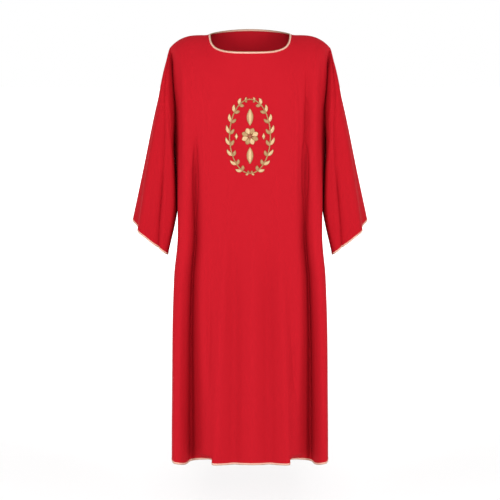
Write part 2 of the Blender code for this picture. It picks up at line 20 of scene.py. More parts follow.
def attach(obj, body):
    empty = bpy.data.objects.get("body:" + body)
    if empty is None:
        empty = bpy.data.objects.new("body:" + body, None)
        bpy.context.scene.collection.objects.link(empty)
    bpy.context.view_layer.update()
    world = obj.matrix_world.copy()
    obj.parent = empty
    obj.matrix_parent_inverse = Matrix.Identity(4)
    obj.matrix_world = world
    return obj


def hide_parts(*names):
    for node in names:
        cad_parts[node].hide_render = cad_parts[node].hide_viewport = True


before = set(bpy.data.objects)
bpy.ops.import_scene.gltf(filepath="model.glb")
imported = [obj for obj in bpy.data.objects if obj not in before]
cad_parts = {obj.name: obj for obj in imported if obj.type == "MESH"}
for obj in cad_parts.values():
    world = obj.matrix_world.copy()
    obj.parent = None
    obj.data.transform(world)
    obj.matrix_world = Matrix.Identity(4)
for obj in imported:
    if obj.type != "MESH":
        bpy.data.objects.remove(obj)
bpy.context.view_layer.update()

log = logging.getLogger("dalmatic")

Pair = tuple[float, float]
Point = tuple[float, float, float]
Colour = tuple[float, float, float, float]

BODY = "root"
WEAVE_MAP = "weave"
SHARP_ANGLE = math.radians(55)
# Keeps a place that is looked up inside the table's last cell
LAST_CELL = 1.001


# ---- options


class Facing(Enum):
    """Which panel of the body: the front looks along -Y."""

    FRONT = -1
    BACK = 1


class Side(Enum):
    """The wearer's side."""

    RIGHT = -1
    LEFT = 1


class Thread(Enum):
    """Embroidery threads, in the order of an embroidered piece's finishes."""

    CREAM = 0
    TAN = 1
    BROWN = 2
    PEACH = 3


class BindingPart(Enum):
    """Parts of a folded binding, in the order of its finishes."""

    BAND = 0
    EDGE = 1
    STITCH = 2


# ---- small maths


def hermite(t: Array, start: Array, end: Array, leave: Array, arrive: Array) -> Array:
    """A cubic from start (t = 0) to end (t = 1), which leaves and arrives at these rates."""
    near, far = 2 * t**3 - 3 * t**2 + 1, 3 * t**2 - 2 * t**3
    return near * start + (t**3 - 2 * t**2 + t) * leave + far * end + (t**3 - t**2) * arrive


def eased(heights: list[float], values: list[float], z: Array) -> Array:
    """Monotone cubic interpolation.

    Args:
        heights: Places of the values, rising.
        values: The values there.
        z: Where to interpolate; held at the ends.

    Returns:
        The values at z.
    """
    heights, values = np.asarray(heights, float), np.asarray(values, float)
    z = np.clip(z, heights[0], heights[-1])
    step = np.diff(heights)
    secant = np.diff(values) / step
    slope = np.zeros_like(values)
    both = secant[:-1] * secant[1:] > 0
    slope[1:-1][both] = (2 * secant[:-1] * secant[1:])[both] / (secant[:-1] + secant[1:])[both]
    slope[0], slope[-1] = secant[0], secant[-1]
    i = np.clip(np.searchsorted(heights, z, side="right") - 1, 0, len(step) - 1)
    t = (z - heights[i]) / step[i]
    return hermite(t, values[i], values[i + 1], step[i] * slope[i], step[i] * slope[i + 1])


def smooth(t: Array) -> Array:
    """A soft step from 0 at t = 0 to 1 at t = 1."""
    t = np.clip(t, 0.0, 1.0)
    return t * t * (3 - 2 * t)


def unit(vectors: Array) -> Array:
    """The vectors at length 1."""
    return vectors / np.maximum(np.linalg.norm(vectors, axis=-1, keepdims=True), 1e-12)


def through(points: Array, place: Array) -> Array:
    """The smooth curve through points, at a place counted in points from the second one.

    Args:
        points: One polygon for each place, as places by corners by coordinates.
        place: Where along its polygon each answer lies.

    Returns:
        One point for each place.
    """
    i = np.clip(np.floor(place).astype(int), 0, points.shape[-2] - 4)
    t = (place - i)[..., None]
    rows = np.arange(len(place))
    before, here, there, after = (points[rows, i + k] for k in range(4))
    steps = here - before, there - here, after - there
    first, span, last = (np.maximum(np.linalg.norm(step, axis=-1, keepdims=True), 1e-9) for step in steps)
    leave = (steps[1] / span * first + steps[0] / first * span) / (first + span)
    arrive = (steps[2] / last * span + steps[1] / span * last) / (span + last)
    return hermite(t, here, there, span * leave, span * arrive)


def signed_power(values: Array, power: float) -> Array:
    """The values' sizes raised to a power, with their signs kept."""
    return np.copysign(np.abs(values) ** power, values)


def full_turn(count: int) -> Array:
    """Angles that divide a full turn evenly."""
    return 2 * math.pi * np.arange(count) / count


def looped(rows: Array) -> Array:
    """The rows with the first place of each repeated at its end."""
    return np.concatenate([rows, rows[:, :1]], axis=1)


def sampled(at: Array, run: Array, values: Array) -> Array:
    """Vectors interpolated at distances along a line, from the known values at the distances run."""
    return np.stack([np.interp(at, run, column) for column in values.T], axis=-1)


def between_rows(at: Array, read: Callable[[int, int], float]) -> Array:
    """Answers that lie between two rows of a table.

    Args:
        at: Where each answer lies, counted in rows.
        read: Gives one answer in one row, from the answer's number and the row's.

    Returns:
        The answers.
    """
    low = at.astype(int)
    first, second = (np.array([read(i, k) for i, k in enumerate(low + up)]) for up in (0, 1))
    return first + (second - first) * (at - low)


def run_length(points: Array, axis: int) -> Array:
    """Distance run along one axis of a grid of points, from its start.

    Args:
        points: A grid of points, coordinates last.
        axis: The axis to run along, 0 or 1.

    Returns:
        The distances, in the grid's shape.
    """
    steps = np.linalg.norm(np.diff(points, axis=axis), axis=-1)
    start = np.zeros_like(np.take(steps, [0], axis=axis))
    return np.concatenate([start, np.cumsum(steps, axis=axis)], axis=axis)


def flat_normals(line: Array, closed: bool = False) -> Array:
    """Directions across a flat line, to its left.

    Args:
        line: Its points.
        closed: True where it closes on itself.

    Returns:
        One direction for each point.
    """
    ahead = np.roll(line, -1, axis=0) - np.roll(line, 1, axis=0) if closed else np.gradient(line, axis=0)
    ahead = unit(ahead)
    return np.stack([-ahead[:, 1], ahead[:, 0]], axis=-1)


def grid_normals(grid: Array, closed: bool, column: int, facing: Point) -> Array:
    """Unit normals of a grid of points.

    Args:
        grid: Rows of points, coordinates last.
        closed: True where each row closes on itself.
        column: A column whose middle point shows which way is out.
        facing: The direction that it faces.

    Returns:
        One normal for each point.
    """
    along = np.roll(grid, -1, axis=1) - np.roll(grid, 1, axis=1) if closed else np.gradient(grid, axis=1)
    normals = unit(np.cross(along, np.gradient(grid, axis=0)))
    return normals * np.sign(normals[len(grid) // 2, column] @ np.array(facing))


# ---- meshes


@dataclass
class MeshParts:
    """Points, faces, weave coordinates and finishes that are gathered into one mesh."""

    points: list[Array] = field(default_factory=list)
    faces: list[Array] = field(default_factory=list)
    weave: list[Array] = field(default_factory=list)
    finish_numbers: list[Array] = field(default_factory=list)
    count: int = 0

    def add_points(self, points: Array) -> Array:
        """Adds a grid of points.

        Args:
            points: The points, coordinates last.

        Returns:
            Their numbers, in the grid's shape.
        """
        numbers = self.count + np.arange(points.size // 3).reshape(points.shape[:-1])
        self.points.append(points.reshape(-1, 3))
        self.count += numbers.size
        return numbers

    def add_faces(self, corners: Array, weave: Array, finish: int) -> None:
        """Adds faces that all have the same number of corners.

        Args:
            corners: Point numbers, faces by corners.
            weave: Thread coordinates in metres, faces by corners by 2.
            finish: Which of the piece's finishes they wear.
        """
        self.faces.append(corners)
        self.weave.append(weave.reshape(-1, 2))
        self.finish_numbers.append(np.full(len(corners), finish))

    def add_skin(self, grid: Array, weave: Array, closed: bool, flip: bool, finish: int = 0) -> Array:
        """Adds a sheet of quads between the points of a grid.

        Args:
            grid: Rows of points.
            weave: Thread coordinates, with one more column than the grid where it is closed.
            closed: True where each row closes on itself.
            flip: True to turn the faces over.
            finish: Which finish it wears.

        Returns:
            The point numbers, in the grid's shape.
        """
        numbers = self.add_points(grid)
        numbers = looped(numbers) if closed else numbers
        self.add_faces(self.quads(numbers, flip), self.quads(weave, flip), finish)
        return numbers

    @staticmethod
    def quads(values: Array, flip: bool) -> Array:
        """The values at the corners of each cell of a grid.

        Args:
            values: One value or vector for each point of the grid.
            flip: True to take the corners the other way round.

        Returns:
            Four values for each cell.
        """
        corners = [values[:-1, :-1], values[1:, :-1], values[1:, 1:], values[:-1, 1:]]
        if flip:
            corners = corners[::-1]
        stacked = np.stack(corners, axis=2)
        return stacked.reshape(-1, 4) if values.ndim == 2 else stacked.reshape(-1, 4, values.shape[-1])

    def add_wall(self, outer: Array, lining: Array, weave: Array, closed: bool, flip: bool) -> None:
        """Adds a thin wall of cloth: two skins that are joined round their edges.

        Args:
            outer: The outer skin's rows of points.
            lining: The inner skin's.
            weave: Thread coordinates, with one more column than the rows where they are closed.
            closed: True where each row closes on itself.
            flip: True to turn the faces over.
        """
        near = self.add_skin(outer, weave, closed, flip)
        far = self.add_skin(lining, weave, closed, not flip)
        ends = [(0, not flip), (-1, flip)]
        sides = [(np.s_[:, 0], flip), (np.s_[:, -1], not flip)]
        for edge, turned in ends if closed else ends + sides:
            numbers, threads = np.stack([near[edge], far[edge]]), np.stack([weave[edge], weave[edge]])
            self.add_faces(self.quads(numbers, turned), self.quads(threads, turned), 0)

    def add_loft(self, rings: Array, closed: bool, finish: int) -> None:
        """Adds a tube through rings of points, capped unless it closes on itself.

        Args:
            rings: Rings by points, each ring going round the tube's line by the right hand.
            closed: True where the last ring meets the first one.
            finish: Which finish it wears.
        """
        weave = np.stack([run_length(looped(rings), 0), run_length(looped(rings), 1)], axis=-1)
        if closed:
            rows = np.concatenate([weave, weave[:1] + weave[-1:] * (1 + 1 / len(rings))], axis=0)
            numbers = looped(self.add_points(rings))
            numbers = np.concatenate([numbers, numbers[:1]], axis=0)
            self.add_faces(self.quads(numbers, False), self.quads(rows, False), finish)
            return
        numbers = self.add_skin(rings, weave, True, False, finish)
        for end, turned in ((0, False), (-1, True)):
            ring = numbers[end, :-1][None, :]
            self.add_faces(ring[:, ::-1] if turned else ring, weave[end, :-1][None], finish)

    def build(self, name: str, materials: list[Material]) -> Object:
        """Makes the object.

        Args:
            name: The piece's name.
            materials: Its finishes, in the order of the finish numbers.

        Returns:
            The object, linked to the scene.
        """
        mesh = bpy.data.meshes.new(name)
        points = np.concatenate(self.points).astype(np.float32)
        corners = np.concatenate([f.ravel() for f in self.faces]).astype(np.int32)
        sizes = np.concatenate([np.full(len(f), f.shape[1]) for f in self.faces])
        starts = np.concatenate([[0], np.cumsum(sizes)[:-1]]).astype(np.int32)
        mesh.vertices.add(len(points))
        mesh.vertices.foreach_set("co", points.ravel())
        mesh.loops.add(len(corners))
        mesh.loops.foreach_set("vertex_index", corners)
        mesh.polygons.add(len(sizes))
        mesh.polygons.foreach_set("loop_start", starts)
        mesh.polygons.foreach_set("material_index", np.concatenate(self.finish_numbers).astype(np.int32))
        layer = mesh.uv_layers.new(name=WEAVE_MAP)
        layer.uv.foreach_set("vector", np.concatenate(self.weave).astype(np.float32).ravel())
        mesh.update(calc_edges=True)
        mesh.validate()
        mesh.shade_smooth()
        mesh.set_sharp_from_angle(angle=SHARP_ANGLE)
        for material in materials:
            mesh.materials.append(material)
        made = bpy.data.objects.new(name, mesh)
        bpy.context.scene.collection.objects.link(made)
        return made


def note_cut(piece: Object, outer: Array, closed: bool) -> None:
    """Notes the flat cut of a piece's cloth on it: width, length and area.

    Args:
        piece: The piece.
        outer: Its outer skin's rows of points.
        closed: True where each row closes on itself.
    """
    grid = looped(outer) if closed else outer
    a, b, c, d = grid[:-1, :-1], grid[1:, :-1], grid[1:, 1:], grid[:-1, 1:]
    halves = np.cross(b - a, c - a), np.cross(c - a, d - a)
    area = sum(np.linalg.norm(half, axis=-1).sum() for half in halves) / 2
    sides = run_length(grid, 1)[:, -1].max(), run_length(grid, 0)[-1].max()
    piece["flat"] = [float(size) for size in (*sides, area)]


def place(piece: Object, slot: str, *nodes: str) -> Object:
    """Fixes a piece to the body in the place of its solids.

    Args:
        piece: The piece.
        slot: Not used.
        nodes: The solids that it stands for.

    Returns:
        The piece.
    """
    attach(piece, BODY)
    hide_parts(*nodes)
    faces = sum(len(p.vertices) - 2 for p in piece.data.polygons)
    log.info("%s: %d triangles, in the place of %s", piece.name, faces, ", ".join(nodes))
    return piece


# ---- finishes


@dataclass
class Web:
    """The nodes of a material or of the surroundings, with short ways to add and join them."""

    owner: Material | World

    @classmethod
    def start(cls, name: str) -> "Web":
        """Starts a material.

        Args:
            name: Its name.

        Returns:
            The web round its Principled shader.
        """
        material = bpy.data.materials.new(name)
        material.use_nodes = True
        return cls(material)

    @property
    def shader(self) -> Node:
        """The Principled shader."""
        return self.owner.node_tree.nodes["Principled BSDF"]

    def add(self, kind: str, inputs: dict | None = None, **settings: object) -> Node:
        """Adds a node.

        Args:
            kind: Its type name, without the leading ShaderNode.
            inputs: Values or sockets for its inputs, by name or number.
            settings: Its own settings.

        Returns:
            The node.
        """
        node = self.owner.node_tree.nodes.new("ShaderNode" + kind)
        for name, value in settings.items():
            setattr(node, name, value)
        for key, value in (inputs or {}).items():
            if isinstance(value, NodeSocket):
                self.owner.node_tree.links.new(value, node.inputs[key])
            else:
                node.inputs[key].default_value = value
        return node

    def math(self, operation: str, first: object, second: object = 0.0) -> NodeSocket:
        """The result of a Math node on two numbers or sockets."""
        return self.add("Math", {0: first, 1: second}, operation=operation).outputs[0]

    def mix(self, share: object, first: object, second: object) -> NodeSocket:
        """The mix of two colours or sockets, with this share of the second one."""
        return self.add("Mix", {0: share, 6: first, 7: second}, data_type="RGBA").outputs[2]

    def ramp(self, value: object, reach: Pair, ends: Pair, kind: str = "LINEAR") -> NodeSocket:
        """A number that goes from one end to the other as the value goes through its reach."""
        inputs = {0: value, **dict(enumerate((*reach, *ends), start=1))}
        return self.add("MapRange", inputs, interpolation_type=kind).outputs[0]

    def threads(self) -> tuple[NodeSocket, NodeSocket]:
        """The thread coordinates, across and along, in metres."""
        parts = self.add("SeparateXYZ", {0: self.add("UVMap", uv_map=WEAVE_MAP).outputs[0]})
        return parts.outputs[0], parts.outputs[1]

    def noise(self, across: object, along: object, stretch: Pair, detail: float = 2.0) -> NodeSocket:
        """Noise in thread coordinates.

        Args:
            across: The coordinate across the threads.
            along: The coordinate along them.
            stretch: Noise cells for each metre, across and along.
            detail: How many finer layers it has.

        Returns:
            The noise, from 0 to 1.
        """
        scaled = [self.math("MULTIPLY", value, cells) for value, cells in zip((across, along), stretch)]
        vector = self.add("CombineXYZ", dict(enumerate(scaled))).outputs[0]
        return self.add("TexNoise", {"Vector": vector, "Scale": 1.0, "Detail": detail}).outputs["Fac"]

    def set_shader(self, **values: object) -> None:
        """Sets the shader's inputs.

        Args:
            values: Values or sockets by the inputs' names, with underscores for spaces.
        """
        for name, value in values.items():
            socket = self.shader.inputs[name.replace("_", " ")]
            if isinstance(value, NodeSocket):
                self.owner.node_tree.links.new(value, socket)
            else:
                socket.default_value = value

    def bump(self, height: NodeSocket, distance: float, strength: float) -> None:
        """Gives the shader a bump of that height in metres."""
        made = self.add("Bump", {"Height": height, "Distance": distance, "Strength": strength})
        self.set_shader(Normal=made.outputs[0])


@dataclass(frozen=True)
class ClothFinish:
    """Plain-woven matt cloth, seen as fine crossing threads with slight slubs."""

    name: str = "crimson_cloth"
    colour: Colour = (0.378, 0.0078, 0.0150, 1.0)
    deep: Colour = (0.336, 0.0056, 0.0115, 1.0)
    pitch: float = 0.00056
    roughness: Pair = (0.74, 0.88)
    slub_cells: Pair = (900.0, 14.0)
    cloud_cells: Pair = (7.0, 2.6)
    cloud_detail: float = 3.0
    cloud_share: float = 0.45
    slub_share: float = 0.55
    gap_level: float = 0.6
    gap_share: float = 0.22
    relief: float = 0.00012
    relief_strength: float = 0.35
    slub_relief: float = 0.9

    def material(self) -> Material:
        """Makes the finish.

        Returns:
            The material.
        """
        web = Web.start(self.name)
        across, along = web.threads()
        warp = web.math("MULTIPLY", across, math.pi / self.pitch)
        weft = web.math("MULTIPLY", along, math.pi / self.pitch)
        over = web.add(
            "TexChecker",
            {
                "Vector": web.add("CombineXYZ", {0: across, 1: along, 2: 0.5 * self.pitch}).outputs[0],
                "Color1": (1, 1, 1, 1),
                "Color2": (0, 0, 0, 1),
                "Scale": 1 / self.pitch,
            },
        ).outputs["Fac"]
        warp_round = web.math("ABSOLUTE", web.math("SINE", warp))
        weft_round = web.math("ABSOLUTE", web.math("SINE", weft))
        weave = web.math(
            "ADD",
            web.math("MULTIPLY", warp_round, over),
            web.math("MULTIPLY", weft_round, web.math("SUBTRACT", 1.0, over)),
        )
        slubs = [web.noise(across, along, cells) for cells in (self.slub_cells, self.slub_cells[::-1])]
        slub = web.math("MULTIPLY", web.math("ADD", *slubs), 0.5)
        cloud = web.noise(across, along, self.cloud_cells, self.cloud_detail)
        cloudy = web.math("MULTIPLY", cloud, self.cloud_share)
        gaps = web.math("MULTIPLY", web.math("SUBTRACT", self.gap_level, weave), self.gap_share)
        shade = web.math("ADD", cloudy, web.math("MULTIPLY", slub, self.slub_share))
        shade = web.math("ADD", shade, gaps)
        web.set_shader(
            Base_Color=web.mix(web.math("SUBTRACT", 1.0, shade), self.colour, self.deep),
            Roughness=web.ramp(weave, (0.0, 1.0), self.roughness[::-1]),
            Specular_IOR_Level=0.03,
            Sheen_Weight=0.02,
            Sheen_Roughness=0.35,
            Sheen_Tint=(1.0, 0.08, 0.09, 1.0),
        )
        height = web.math("ADD", weave, web.math("MULTIPLY", slub, self.slub_relief))
        web.bump(height, self.relief, self.relief_strength)
        return web.owner


@dataclass(frozen=True)
class ThreadFinish:
    """Satin-stitched thread: fine parallel ridges with a soft metallic gloss."""

    name: str
    colour: Colour
    # The darker colour shown between the satin ridges: painted shade in the grooves
    shade: Colour
    pitch: float = 0.00042
    metallic: float = 0.12
    roughness: Pair = (0.34, 0.52)
    fray_cells: Pair = (1400.0, 160.0)
    patch_cells: Pair = (160.0, 90.0)
    ridge_share: float = 0.45
    patch_share: float = 0.55
    relief: float = 0.00016
    relief_strength: float = 0.7
    fray_relief: float = 0.6

    def material(self) -> Material:
        """Makes the finish.

        Returns:
            The material.
        """
        web = Web.start(self.name)
        along, across = web.threads()
        ridge = web.math("ABSOLUTE", web.math("SINE", web.math("MULTIPLY", along, math.pi / self.pitch)))
        fray = web.math("MULTIPLY", web.noise(along, across, self.fray_cells), self.fray_relief)
        patch = web.math("MULTIPLY", web.noise(along, across, self.patch_cells), self.patch_share)
        # Between the ridges the darker shade colour shows: painted shade in the grooves, mixed with random
        # patches of tone
        share = web.math("ADD", web.math("MULTIPLY", ridge, self.ridge_share), patch)
        web.set_shader(
            Base_Color=web.mix(share, self.shade, self.colour),
            Metallic=self.metallic,
            Roughness=web.ramp(ridge, (0.0, 1.0), self.roughness[::-1]),
            Specular_IOR_Level=0.45,
        )
        web.bump(web.math("ADD", ridge, fray), self.relief, self.relief_strength)
        return web.owner


@dataclass(frozen=True)
class FloorFinish:
    """Plain pale studio floor, which glows towards the back and so runs into the white surroundings."""

    name: str = "pale_floor"
    colour: Colour = (0.86, 0.86, 0.86, 1.0)
    glow: Pair = (0.10, 1.0)
    glow_reach: Pair = (0.5, 6.0)

    def material(self) -> Material:
        """Makes the finish.

        Returns:
            The material.
        """
        web = Web.start(self.name)
        parts = web.add("SeparateXYZ", {0: web.add("TexCoord").outputs["Object"]})
        glow = web.ramp(parts.outputs[1], self.glow_reach, self.glow, "SMOOTHSTEP")
        web.set_shader(
            Base_Color=self.colour,
            Roughness=0.9,
            Specular_IOR_Level=0.1,
            Emission_Color=(1.0, 1.0, 1.0, 1.0),
            Emission_Strength=glow,
        )
        return web.owner


CLOTH = ClothFinish()
# The sleeves wear the same crimson, painted darker: painted shade for the dimmer light on the sleeves out at
# the sides
SHADED_SLEEVE_CLOTH = ClothFinish(
    "crimson_cloth_painted_shade", (0.358, 0.0066, 0.0132, 1.0), (0.318, 0.0048, 0.0100, 1.0)
)
BAND = ThreadFinish(
    "peach_gold_band", (0.640, 0.370, 0.290, 1.0), (0.540, 0.300, 0.220, 1.0), 0.0006, 0.05, (0.42, 0.60)
)
# The binding's edge, over the rim and under it, is dark: partly a darker twisted gold edge, partly painted
# shade where the strip turns under
EDGE = ThreadFinish(
    "gold_edge_with_painted_shade", (0.300, 0.185, 0.095, 1.0), (0.180, 0.100, 0.042, 1.0), 0.0006, 0.35, (0.36, 0.50)
)
STITCH = ThreadFinish("peach_stitching", (0.520, 0.320, 0.230, 1.0), (0.410, 0.240, 0.150, 1.0))
THREADS = {
    Thread.CREAM: ThreadFinish("cream_gold_thread", (0.540, 0.370, 0.190, 1.0), (0.420, 0.265, 0.115, 1.0)),
    Thread.TAN: ThreadFinish("tan_gold_thread", (0.350, 0.205, 0.078, 1.0), (0.240, 0.130, 0.042, 1.0)),
    Thread.BROWN: ThreadFinish("brown_thread", (0.160, 0.068, 0.018, 1.0), (0.100, 0.038, 0.010, 1.0)),
    Thread.PEACH: ThreadFinish("peach_thread", (0.560, 0.230, 0.130, 1.0), (0.420, 0.150, 0.080, 1.0)),
}


# ---- base form of the body


@dataclass(frozen=True)
class Section:
    """One level of the body: half width, and how far its cloth stands before and behind the seam plane."""

    z: float
    half_width: float
    front: float
    back: float


@dataclass(frozen=True)
class Fold:
    """A fold at three heights: chest, hip and above the hem.

    across is a share of the half width, and behind is how far the cloth lies behind the section's foremost
    line, as a share of the depth.
    """

    name: str
    across_chest: float
    across_hip: float
    across_hem: float
    behind_chest: float
    behind_hip: float
    behind_hem: float


@dataclass(frozen=True)
class HemStep:
    """How far a front fold is shifted at the hem, where the box fold's edge shows, and hangs down there."""

    fold: str
    across: float
    behind: float
    down: float = 0.0


@dataclass(frozen=True)
class Crease:
    """One soft line laid on the cloth: a ridge, or a trough where height is below 0.

    path gives (across, down) places from its top to its bottom, width is its half width, and fade is how
    far it takes to run out at both ends. sharpness is the share by which its side away from the centre is
    steeper. A crease with an edge is pinched to a line that is about that wide.
    """

    name: str
    height: float
    width: float
    path: tuple[Pair, ...]
    fade: float = 0.10
    sharpness: float = 0.0
    edge: float = 0.0

    def relief(self, across: Array, down: Array) -> Array:
        """How far the crease lifts the cloth.

        Args:
            across: Places across the cloth.
            down: Places down it, falling along the path.

        Returns:
            The lift in metres.
        """
        heights = [place[1] for place in self.path[::-1]]
        line = eased(heights, [place[0] for place in self.path[::-1]], down)
        off = across - line
        away = off * np.where(line < 0, -1.0, 1.0)
        width = self.width * np.where(away > 0, 1 - self.sharpness, 1.0)
        top, bottom = heights[-1], heights[0]
        taper = smooth((top - down) / self.fade) * smooth((down - bottom) / self.fade)
        if self.edge > 0:
            return self.height * taper * np.exp(-(np.hypot(off, self.edge) - self.edge) / width)
        return self.height * taper * np.exp(-((off / width) ** 2))


SECTIONS = (
    Section(0.060, 0.2520, 0.118, 0.108),
    Section(-0.030, 0.2450, 0.118, 0.108),
    Section(-0.090, 0.2330, 0.118, 0.110),
    Section(-0.180, 0.2280, 0.118, 0.114),
    Section(-0.310, 0.2265, 0.127, 0.120),
    Section(-0.450, 0.2210, 0.136, 0.127),
    Section(-0.590, 0.2160, 0.145, 0.134),
    Section(-0.720, 0.2275, 0.151, 0.142),
    Section(-0.900, 0.2335, 0.158, 0.152),
    Section(-1.100, 0.2355, 0.165, 0.162),
    Section(-1.280, 0.2370, 0.172, 0.170),
)
FOLD_HEIGHTS = (-1.180, -0.620, -0.310)
FRONT_FOLDS = (
    Fold("centre", 0.000, 0.000, 0.000, 0.000, 0.006, 0.012),
    Fold("front trough", 0.155, 0.215, 0.210, 0.000, 0.026, 0.068),
    Fold("front ridge", 0.330, 0.360, 0.428, 0.006, 0.000, 0.000),
    Fold("ridge edge", 0.420, 0.440, 0.462, 0.014, 0.006, 0.008),
    Fold("return", 0.530, 0.556, 0.520, 0.024, 0.026, 0.050),
    Fold("panel edge", 0.630, 0.652, 0.590, 0.036, 0.070, 0.128),
    Fold("valley wall", 0.690, 0.712, 0.664, 0.048, 0.196, 0.262),
    Fold("valley foot", 0.711, 0.754, 0.768, 0.054, 0.335, 0.505),
    Fold("valley rise", 0.730, 0.804, 0.826, 0.058, 0.155, 0.220),
    Fold("side ridge", 0.850, 0.888, 0.912, 0.060, 0.064, 0.090),
    Fold("ridge outer", 0.914, 0.960, 0.962, 0.215, 0.112, 0.078),
    Fold("side front", 0.962, 1.000, 0.992, 0.470, 0.360, 0.180),
    Fold("side middle", 1.000, 0.998, 1.000, 0.740, 0.700, 0.580),
    Fold("side seam", 1.000, 0.990, 0.985, 1.000, 1.000, 1.000),
)
BACK_FOLDS = (
    Fold("centre", 0.000, 0.000, 0.000, 0.060, 0.050, 0.070),
    Fold("centre ridge", 0.180, 0.190, 0.200, 0.020, 0.000, 0.000),
    Fold("centre valley", 0.340, 0.355, 0.370, 0.040, 0.090, 0.150),
    Fold("blade ridge", 0.500, 0.520, 0.530, 0.060, 0.050, 0.040),
    Fold("side valley", 0.650, 0.670, 0.680, 0.150, 0.200, 0.290),
    Fold("side ridge", 0.800, 0.830, 0.840, 0.200, 0.120, 0.060),
    Fold("side ridge outer", 0.910, 0.945, 0.950, 0.290, 0.200, 0.120),
    Fold("side back", 0.975, 0.995, 1.000, 0.480, 0.430, 0.370),
    Fold("side middle", 1.000, 1.000, 0.992, 0.740, 0.710, 0.700),
    Fold("side seam", 1.000, 0.990, 0.985, 1.000, 1.000, 1.000),
)
HEM_STEPS = (
    HemStep("front trough", 0.000, 0.000, 0.0035),
    HemStep("ridge edge", 0.006, 0.000),
    HemStep("return", -0.066, 0.235),
    HemStep("panel edge", -0.066, 0.205),
    HemStep("valley wall", -0.040, 0.060),
    HemStep("valley foot", 0.000, -0.060, 0.011),
    HemStep("valley rise", 0.000, 0.000, 0.010),
    HemStep("side ridge", 0.000, 0.000, 0.003),
)

# Lines on the front, from the wearer's right (-) to the left (+)
FRONT_CREASES = (
    Crease("right armhole ridge", 0.006, 0.008, ((-0.2215, 0.02), (-0.2205, -0.12), (-0.219, -0.24)), 0.1),
    Crease("right side line", 0.0022, 0.007, ((-0.204, -0.44), (-0.211, -0.8), (-0.217, -1.2)), 0.16),
    Crease(
        "right chest valley", -0.011, 0.0046, ((-0.161, -0.22), (-0.159, -0.34), (-0.161, -0.58)),
        0.2, -0.3, 0.0008,
    ),
    Crease("right chest ridge", 0.0028, 0.011, ((-0.137, -0.08), (-0.136, -0.36), (-0.12, -0.7)), 0.16),
    Crease(
        "right slant", 0.0062, 0.015, ((-0.062, -0.48), (-0.08, -0.74), (-0.09, -0.92), (-0.106, -1.4)),
        0.2,
    ),
    Crease("right slant line", -0.0026, 0.006, ((-0.118, -0.74), (-0.124, -0.9), (-0.131, -1.08)), 0.12, 0.4),
    Crease("right hip fall", -0.0044, 0.013, ((-0.118, -0.6), (-0.124, -0.84), (-0.126, -1.12)), 0.16),
    Crease("right skirt valley", -0.0085, 0.017, ((-0.04, -0.54), (-0.045, -0.92), (-0.05, -1.5)), 0.3),
    Crease("right fine line", 0.0014, 0.008, ((-0.062, -0.38), (-0.064, -0.52), (-0.066, -0.66)), 0.12),
    Crease("centre ridge", 0.0042, 0.016, ((0.012, -0.42), (0.008, -0.8), (0.006, -1.4)), 0.24),
    Crease("left skirt valley", -0.0085, 0.017, ((0.05, -0.52), (0.055, -0.9), (0.059, -1.5)), 0.3),
    Crease("left fine line", 0.0014, 0.008, ((0.076, -0.36), (0.078, -0.5), (0.082, -0.66)), 0.12),
    Crease("left slant", 0.0062, 0.015, ((0.082, -0.52), (0.095, -0.78), (0.101, -0.96), (0.116, -1.4)), 0.2),
    Crease("left hip fall", -0.0044, 0.013, ((0.116, -0.66), (0.126, -0.86), (0.136, -1.14)), 0.16),
    Crease("left slant line", -0.0026, 0.006, ((0.122, -0.84), (0.133, -0.98), (0.144, -1.12)), 0.12, 0.4),
    Crease("left chest ridge", 0.0042, 0.009, ((0.128, -0.07), (0.137, -0.27), (0.132, -0.58)), 0.14, 0.2),
    Crease(
        "left chest valley", -0.016, 0.0062,
        ((0.168, -0.04), (0.165, -0.26), (0.1625, -0.34), (0.163, -0.56)),
        0.22, -0.6, 0.0008,
    ),
    Crease("left armhole ridge", 0.006, 0.008, ((0.2215, 0.02), (0.2205, -0.12), (0.219, -0.24)), 0.1),
    Crease("left side line", 0.0022, 0.007, ((0.204, -0.42), (0.213, -0.78), (0.221, -1.22)), 0.16),
)
BACK_CREASES = (
    Crease(
        "right side valley", -0.008, 0.009, ((-0.148, -0.34), (-0.158, -0.76), (-0.166, -1.22)),
        0.22, 0.3,
    ),
    Crease("right blade line", 0.004, 0.011, ((-0.096, -0.16), (-0.108, -0.48), (-0.12, -1.1)), 0.18, 0.3),
    Crease("right inner valley", -0.0046, 0.014, ((-0.068, -0.4), (-0.078, -0.78), (-0.086, -1.25)), 0.24),
    Crease("right skirt ridge", 0.0036, 0.013, ((-0.036, -0.66), (-0.044, -0.96), (-0.05, -1.26)), 0.2),
    Crease("centre fall", -0.0042, 0.015, ((0.004, -0.3), (0.007, -0.7), (0.002, -1.24)), 0.24),
    Crease("left skirt ridge", 0.0036, 0.014, ((0.042, -0.56), (0.046, -0.9), (0.054, -1.24)), 0.2),
    Crease("left inner valley", -0.0042, 0.014, ((0.072, -0.34), (0.084, -0.8), (0.092, -1.25)), 0.24),
    Crease("left blade line", 0.0044, 0.011, ((0.09, -0.2), (0.112, -0.56), (0.128, -1.12)), 0.18, 0.3),
    Crease("left side valley", -0.009, 0.009, ((0.146, -0.4), (0.16, -0.84), (0.168, -1.22)), 0.22, 0.3),
)


@dataclass(frozen=True)
class Ripple:
    """A faint wave across the cloth, which drifts sideways on its way down."""

    height: float
    wavelength: float
    drift: float
    phase: float
    drift_turns: float = 5.0


RIPPLES = (Ripple(0.00030, 0.083, 0.020, 0.4), Ripple(0.00022, 0.047, -0.014, 2.1))


